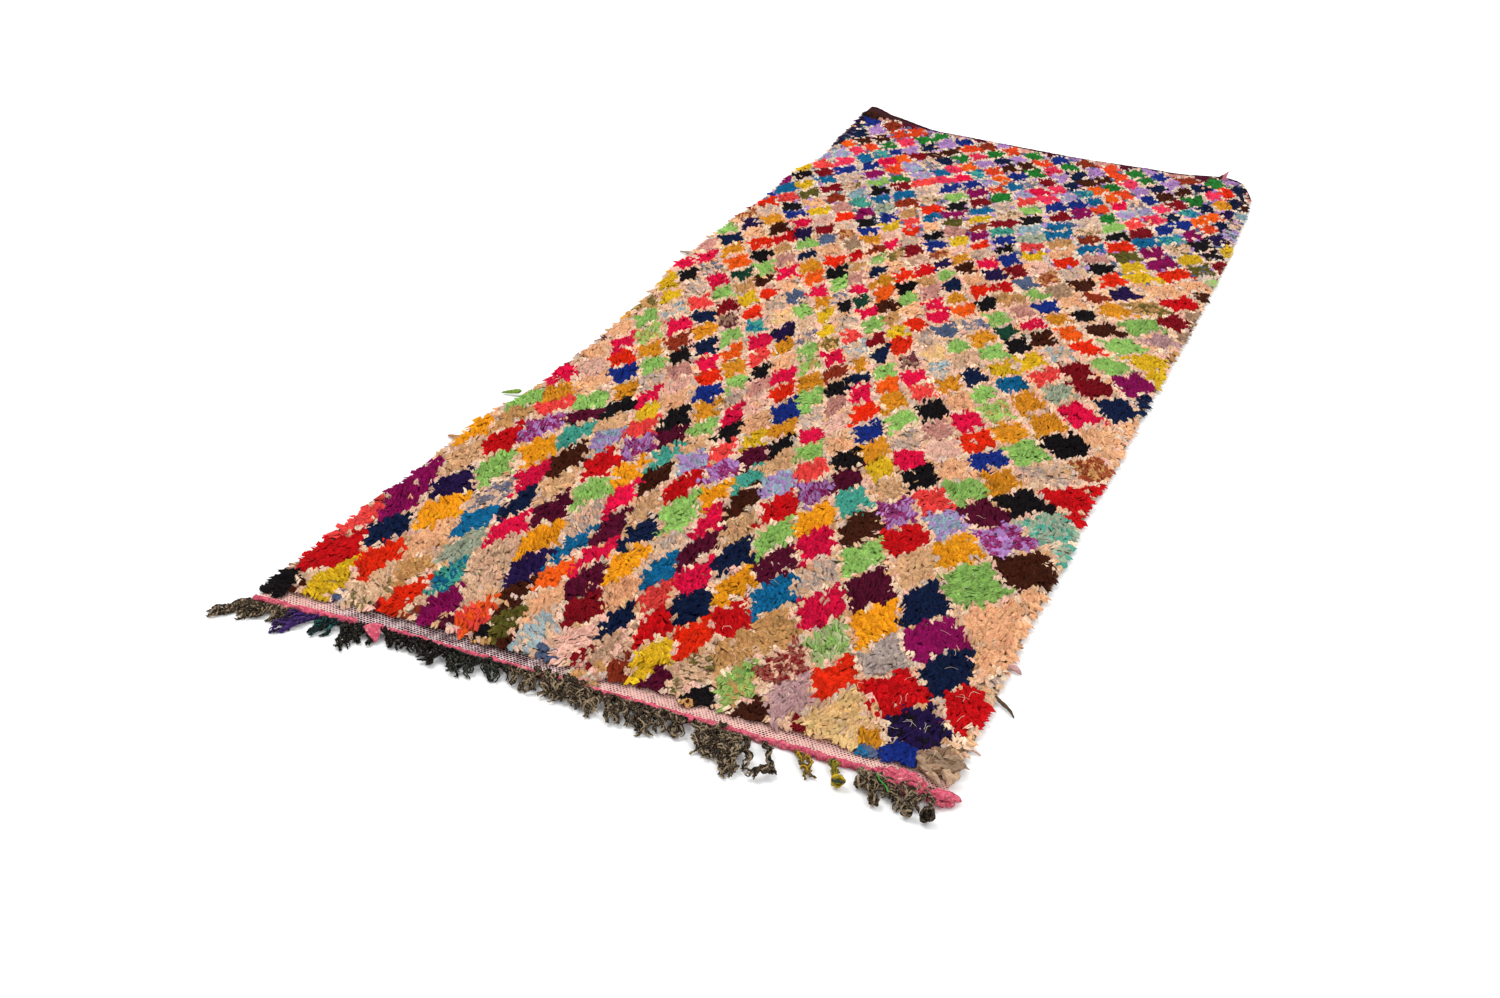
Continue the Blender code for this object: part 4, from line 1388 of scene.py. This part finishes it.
balls = [  # yarn wound into round knots: x, station, height, radius in mm
    (537, -82, 11, 8.5, "heather"), (566, -80, 14, 11.8, "heather"), (428, -60, 12, 10, "oliveYarn"),
    (488, -78, 11, 8.5, "heather"), (457, -48, 12, 9, "heather"),
]


def yarnTree():
    tree, given = growTree("spunYarn", [
        ("Sides", "Int", fringe["sides"]),
        ("Finish", "Material", None),
    ])
    line = placeNode(tree, "GeometryNodeMeshToCurve", links={"Mesh": given["Geometry"]})
    section = placeNode(tree, "GeometryNodeCurvePrimitiveCircle", links={
        "Resolution": given["Sides"], "Radius": 1.0})
    spun = placeNode(tree, "GeometryNodeCurveToMesh", links={
        "Curve": line, "Profile Curve": section, "Scale": named(tree, "thick"), "Fill Caps": True})
    endTree(tree, spun, given["Finish"])
    return tree


def yarnFinish():
    finish = Finish("heatherYarn", 0.95)
    speckle = finish.number("speckle")
    pale = ((finish.grain(420.0, 2.0, 0.6) - 0.54) * 9.0).clamped() * 0.5
    heather = finish.blend(pale * speckle, finish.dye("tint"), shade(184, 162, 132))
    deep = ((finish.grain(260.0, 2.0, 0.6) - 0.55) * 8.0).clamped() * 0.75
    yarn = finish.blend(deep * speckle, heather, shade(18, 14, 13))
    finish.bump(finish.grain(900.0, 2.0, 0.6), 0.8, 0.0012)
    return finish.colour(yarn)


def lockYarns(root, tip, rootHeight, height, colours, chance, yarns, bulk=1.0):
    # the yarns of one lock: they wind round a line that sways over the floor and hooks at its end
    ahead = np.array([tip[0] - root[0], tip[1] - root[1]])
    length = float(np.linalg.norm(ahead))
    ahead = ahead / length
    beside = np.array([ahead[1], -ahead[0]])
    count = max(8, round(length * fringe["slack"] / fringe["step"]))
    loose = min(1.0, height / fringe["looseFrom"])
    t = np.linspace(0, 1, count)
    run = t * length
    phase = chance.uniform(0, 6.28, 4)
    pitch = fringe["swayPitch"] * chance.uniform(0.8, 1.3)
    sway = fringe["sway"] * loose * np.sin(2 * math.pi * run / pitch + phase[0])
    sway = sway * easeStep(t / 0.3) + chance.normal(0, fringe["hook"]) * t ** 3
    flat = np.array(root) + np.outer(run, ahead) + np.outer(sway, beside)
    ripple = fringe["ripple"] * np.sin(run / fringe["ripplePitch"] + phase[1]) * easeStep(t / 0.2)
    level = rootHeight + (height - rootHeight) * easeStep(t / 0.30)
    level = level * (1 - fringe["droop"] * easeStep((t - 0.5) / 0.5)) + ripple
    beads = 1 - fringe["bead"] + fringe["bead"] * abs(np.sin(math.pi * run / fringe["beadPitch"] + phase[2]))
    thick = fringe["lockRadius"] * bulk * loose * beads
    thick = thick * (1 - fringe["taper"] * t ** 4) * (0.55 + 0.45 * easeStep(t / 0.15))
    wind = 2 * math.pi * run / fringe["windPitch"] * (1 if phase[3] > 3 else -1)
    lines = []
    for number in range(yarns):
        share = 1.0 if number < 2 else chance.uniform(0.66, 1.0)
        keep = max(6, round(count * share))
        angle = 2 * math.pi * number / yarns + wind + 0.9 * np.sin(run * 170 + chance.uniform(0, 6.28))
        reach = thick * (chance.uniform(0.55, 1.05) if number % 3 else chance.uniform(0.1, 0.4))
        curl = fringe["curl"] * chance.uniform(0.6, 1.6)
        pitch = fringe["curlPitch"] * chance.uniform(0.8, 1.3)
        bend = 2 * math.pi * run / pitch + chance.uniform(0, 6.28)
        aside = np.cos(angle) * reach + curl * np.cos(bend) + chance.normal(0, fringe["stray"]) * t ** 3
        rise = np.sin(angle) * reach * 0.85 + curl * np.sin(bend)
        radius = chance.uniform(*fringe["radius"])
        line = np.empty((count, 3))
        line[:, :2] = flat + np.outer(aside, beside) + np.outer(curl * np.sin(bend * 0.7), ahead)
        line[:, 2] = np.maximum(level + rise, radius * 0.9 + fringe["rest"])
        line[:, 1] -= rug["middleStation"]
        lines.append((line[:keep], radius, colours))
    return lines


def clumpYarns(clump, chance):
    start, end, last, lean, height = (value / 1000 for value in clump[:5])
    locks, gathered, colours = clump[5:]
    middle = (start + end) / 2
    lines = []
    for index in range(locks):
        x = start + (end - start) * (index + 0.5 + chance.uniform(-0.2, 0.2)) / locks
        sag = float(nearSag(x))
        aside = abs(2 * (index + 0.5) / locks - 1)
        reach = (fringe["root"] - (last - sag)) * (1 - fringe["point"] * aside)
        reach = reach * chance.uniform(*fringe["uneven"])
        root = (x, fringe["root"] + sag)
        tip = (middle + lean + (x - middle) * gathered + chance.normal(0, 0.003), root[1] - reach)
        high = height * chance.uniform(*fringe["lockHeight"])
        lines += lockYarns(root, tip, fringe["rootHeight"], high, colours, chance, fringe["yarnsPerLock"])
    return lines


def knotBall(x, station, z, size, colours, chance):
    # yarn wound into a round knot at the end of a loop
    lines = []
    for share in fringe["ballShells"]:
        t = np.linspace(0, 1, 22)
        turn = t * 2 * math.pi * 1.25 + chance.uniform(0, 6.28)
        radius = size * share * (0.90 + 0.12 * np.sin(t * 21 + share * 50))
        axis = chance.normal(0, 1, 3)
        axis /= np.linalg.norm(axis)
        first = np.cross(axis, (0.3, 0.5, 0.8))
        first /= np.linalg.norm(first)
        second = np.cross(axis, first)
        line = (np.outer(np.cos(turn) * radius, first) + np.outer(np.sin(turn) * radius, second)
                + (x, station - rug["middleStation"], z))
        line[:, 2] = np.maximum(line[:, 2], fringe["ballRest"])
        lines.append((line, fringe["ballYarn"], colours))
    return lines


def looseThread(path, radius, dye):
    at, line = smoothPath([(*place, 1, 1) for place in path], 0.003)
    line = line[:, :3].copy()
    line[:, 1] -= rug["middleStation"]
    return line, radius, dye


def flyaways(chance):
    lines = []
    for low, high, near, far, count in flyaway["zones"]:
        for number in range(count):
            x, station = chance.uniform(low, high), chance.uniform(near, far)
            turn, bend = chance.uniform(0, 6.28), chance.normal(0, flyaway["bend"])
            path = []
            for step in range(5):
                wave = flyaway["rise"] * math.sin(step * 0.8)
                path.append((x, station, flyaway["height"] + wave + chance.normal(0, flyaway["uneven"])))
                x, station = x + flyaway["step"] * math.cos(turn), station + flyaway["step"] * math.sin(turn)
                turn += bend
            lines.append(looseThread(path, flyaway["radius"], flyaway["dye"]))
    return lines


def yarnPiece(name, yarns, chance):
    points, edges, tint, thick, speckle = [], [], [], [], []
    for line, radius, colours in yarns:
        if colours in yarnColours:
            mixed = yarnColours[colours]
            base = linear(mixed[chance.choice(3, p=(0.42, 0.33, 0.25))]) * chance.uniform(0.8, 1.25)
            strays = mixed[3]
        else:
            base, strays = linear(colours), 0.0
        first = len(points)
        points.extend(line)
        edges.extend((first + index, first + index + 1) for index in range(len(line) - 1))
        tint.extend([base] * len(line))
        speckle.extend([strays] * len(line))
        taper = np.ones(len(line))
        taper[-1] = 0.35
        thick.extend(radius * taper)
    mesh = bpy.data.meshes.new(name)
    mesh.from_pydata([tuple(point) for point in points], edges, [])
    piece = bpy.data.objects.new(name, mesh)
    bpy.context.scene.collection.objects.link(piece)
    addAttribute(mesh, "tint", np.clip(np.array(tint), 0, 1))
    addAttribute(mesh, "thick", thick)
    addAttribute(mesh, "speckle", speckle)
    useTree(piece, yarnTree(), {"Finish": yarnFinish()})
    grown = growMesh(piece)
    dress(piece, "heather_yarn", "fringe")
    print(name, "yarns", len(yarns), "faces", len(grown.polygons))
    return piece


def makeFringe():
    chance = np.random.default_rng(fringe["seed"])
    yarns = []
    for clump in clumps:
        yarns += clumpYarns(clump, chance)
    rootHeight, height, count, bulk = fringe["lap"]
    for *ends, colours in overTufts:
        x, station, lastX, lastStation = (value / 1000 for value in ends)
        yarns += lockYarns((x, station), (lastX, lastStation), rootHeight, height, colours,
                           chance, count, bulk)
    for *ball, colours in balls:
        yarns += knotBall(*(value / 1000 for value in ball), colours, chance)
    yarns += [looseThread(metres(path), radius, dye) for path, radius, dye in strayThreads]
    yarns += flyaways(chance)
    return yarnPiece("yarnFringe", yarns, chance)


fringePiece = makeFringe()
print("fringe knotted")
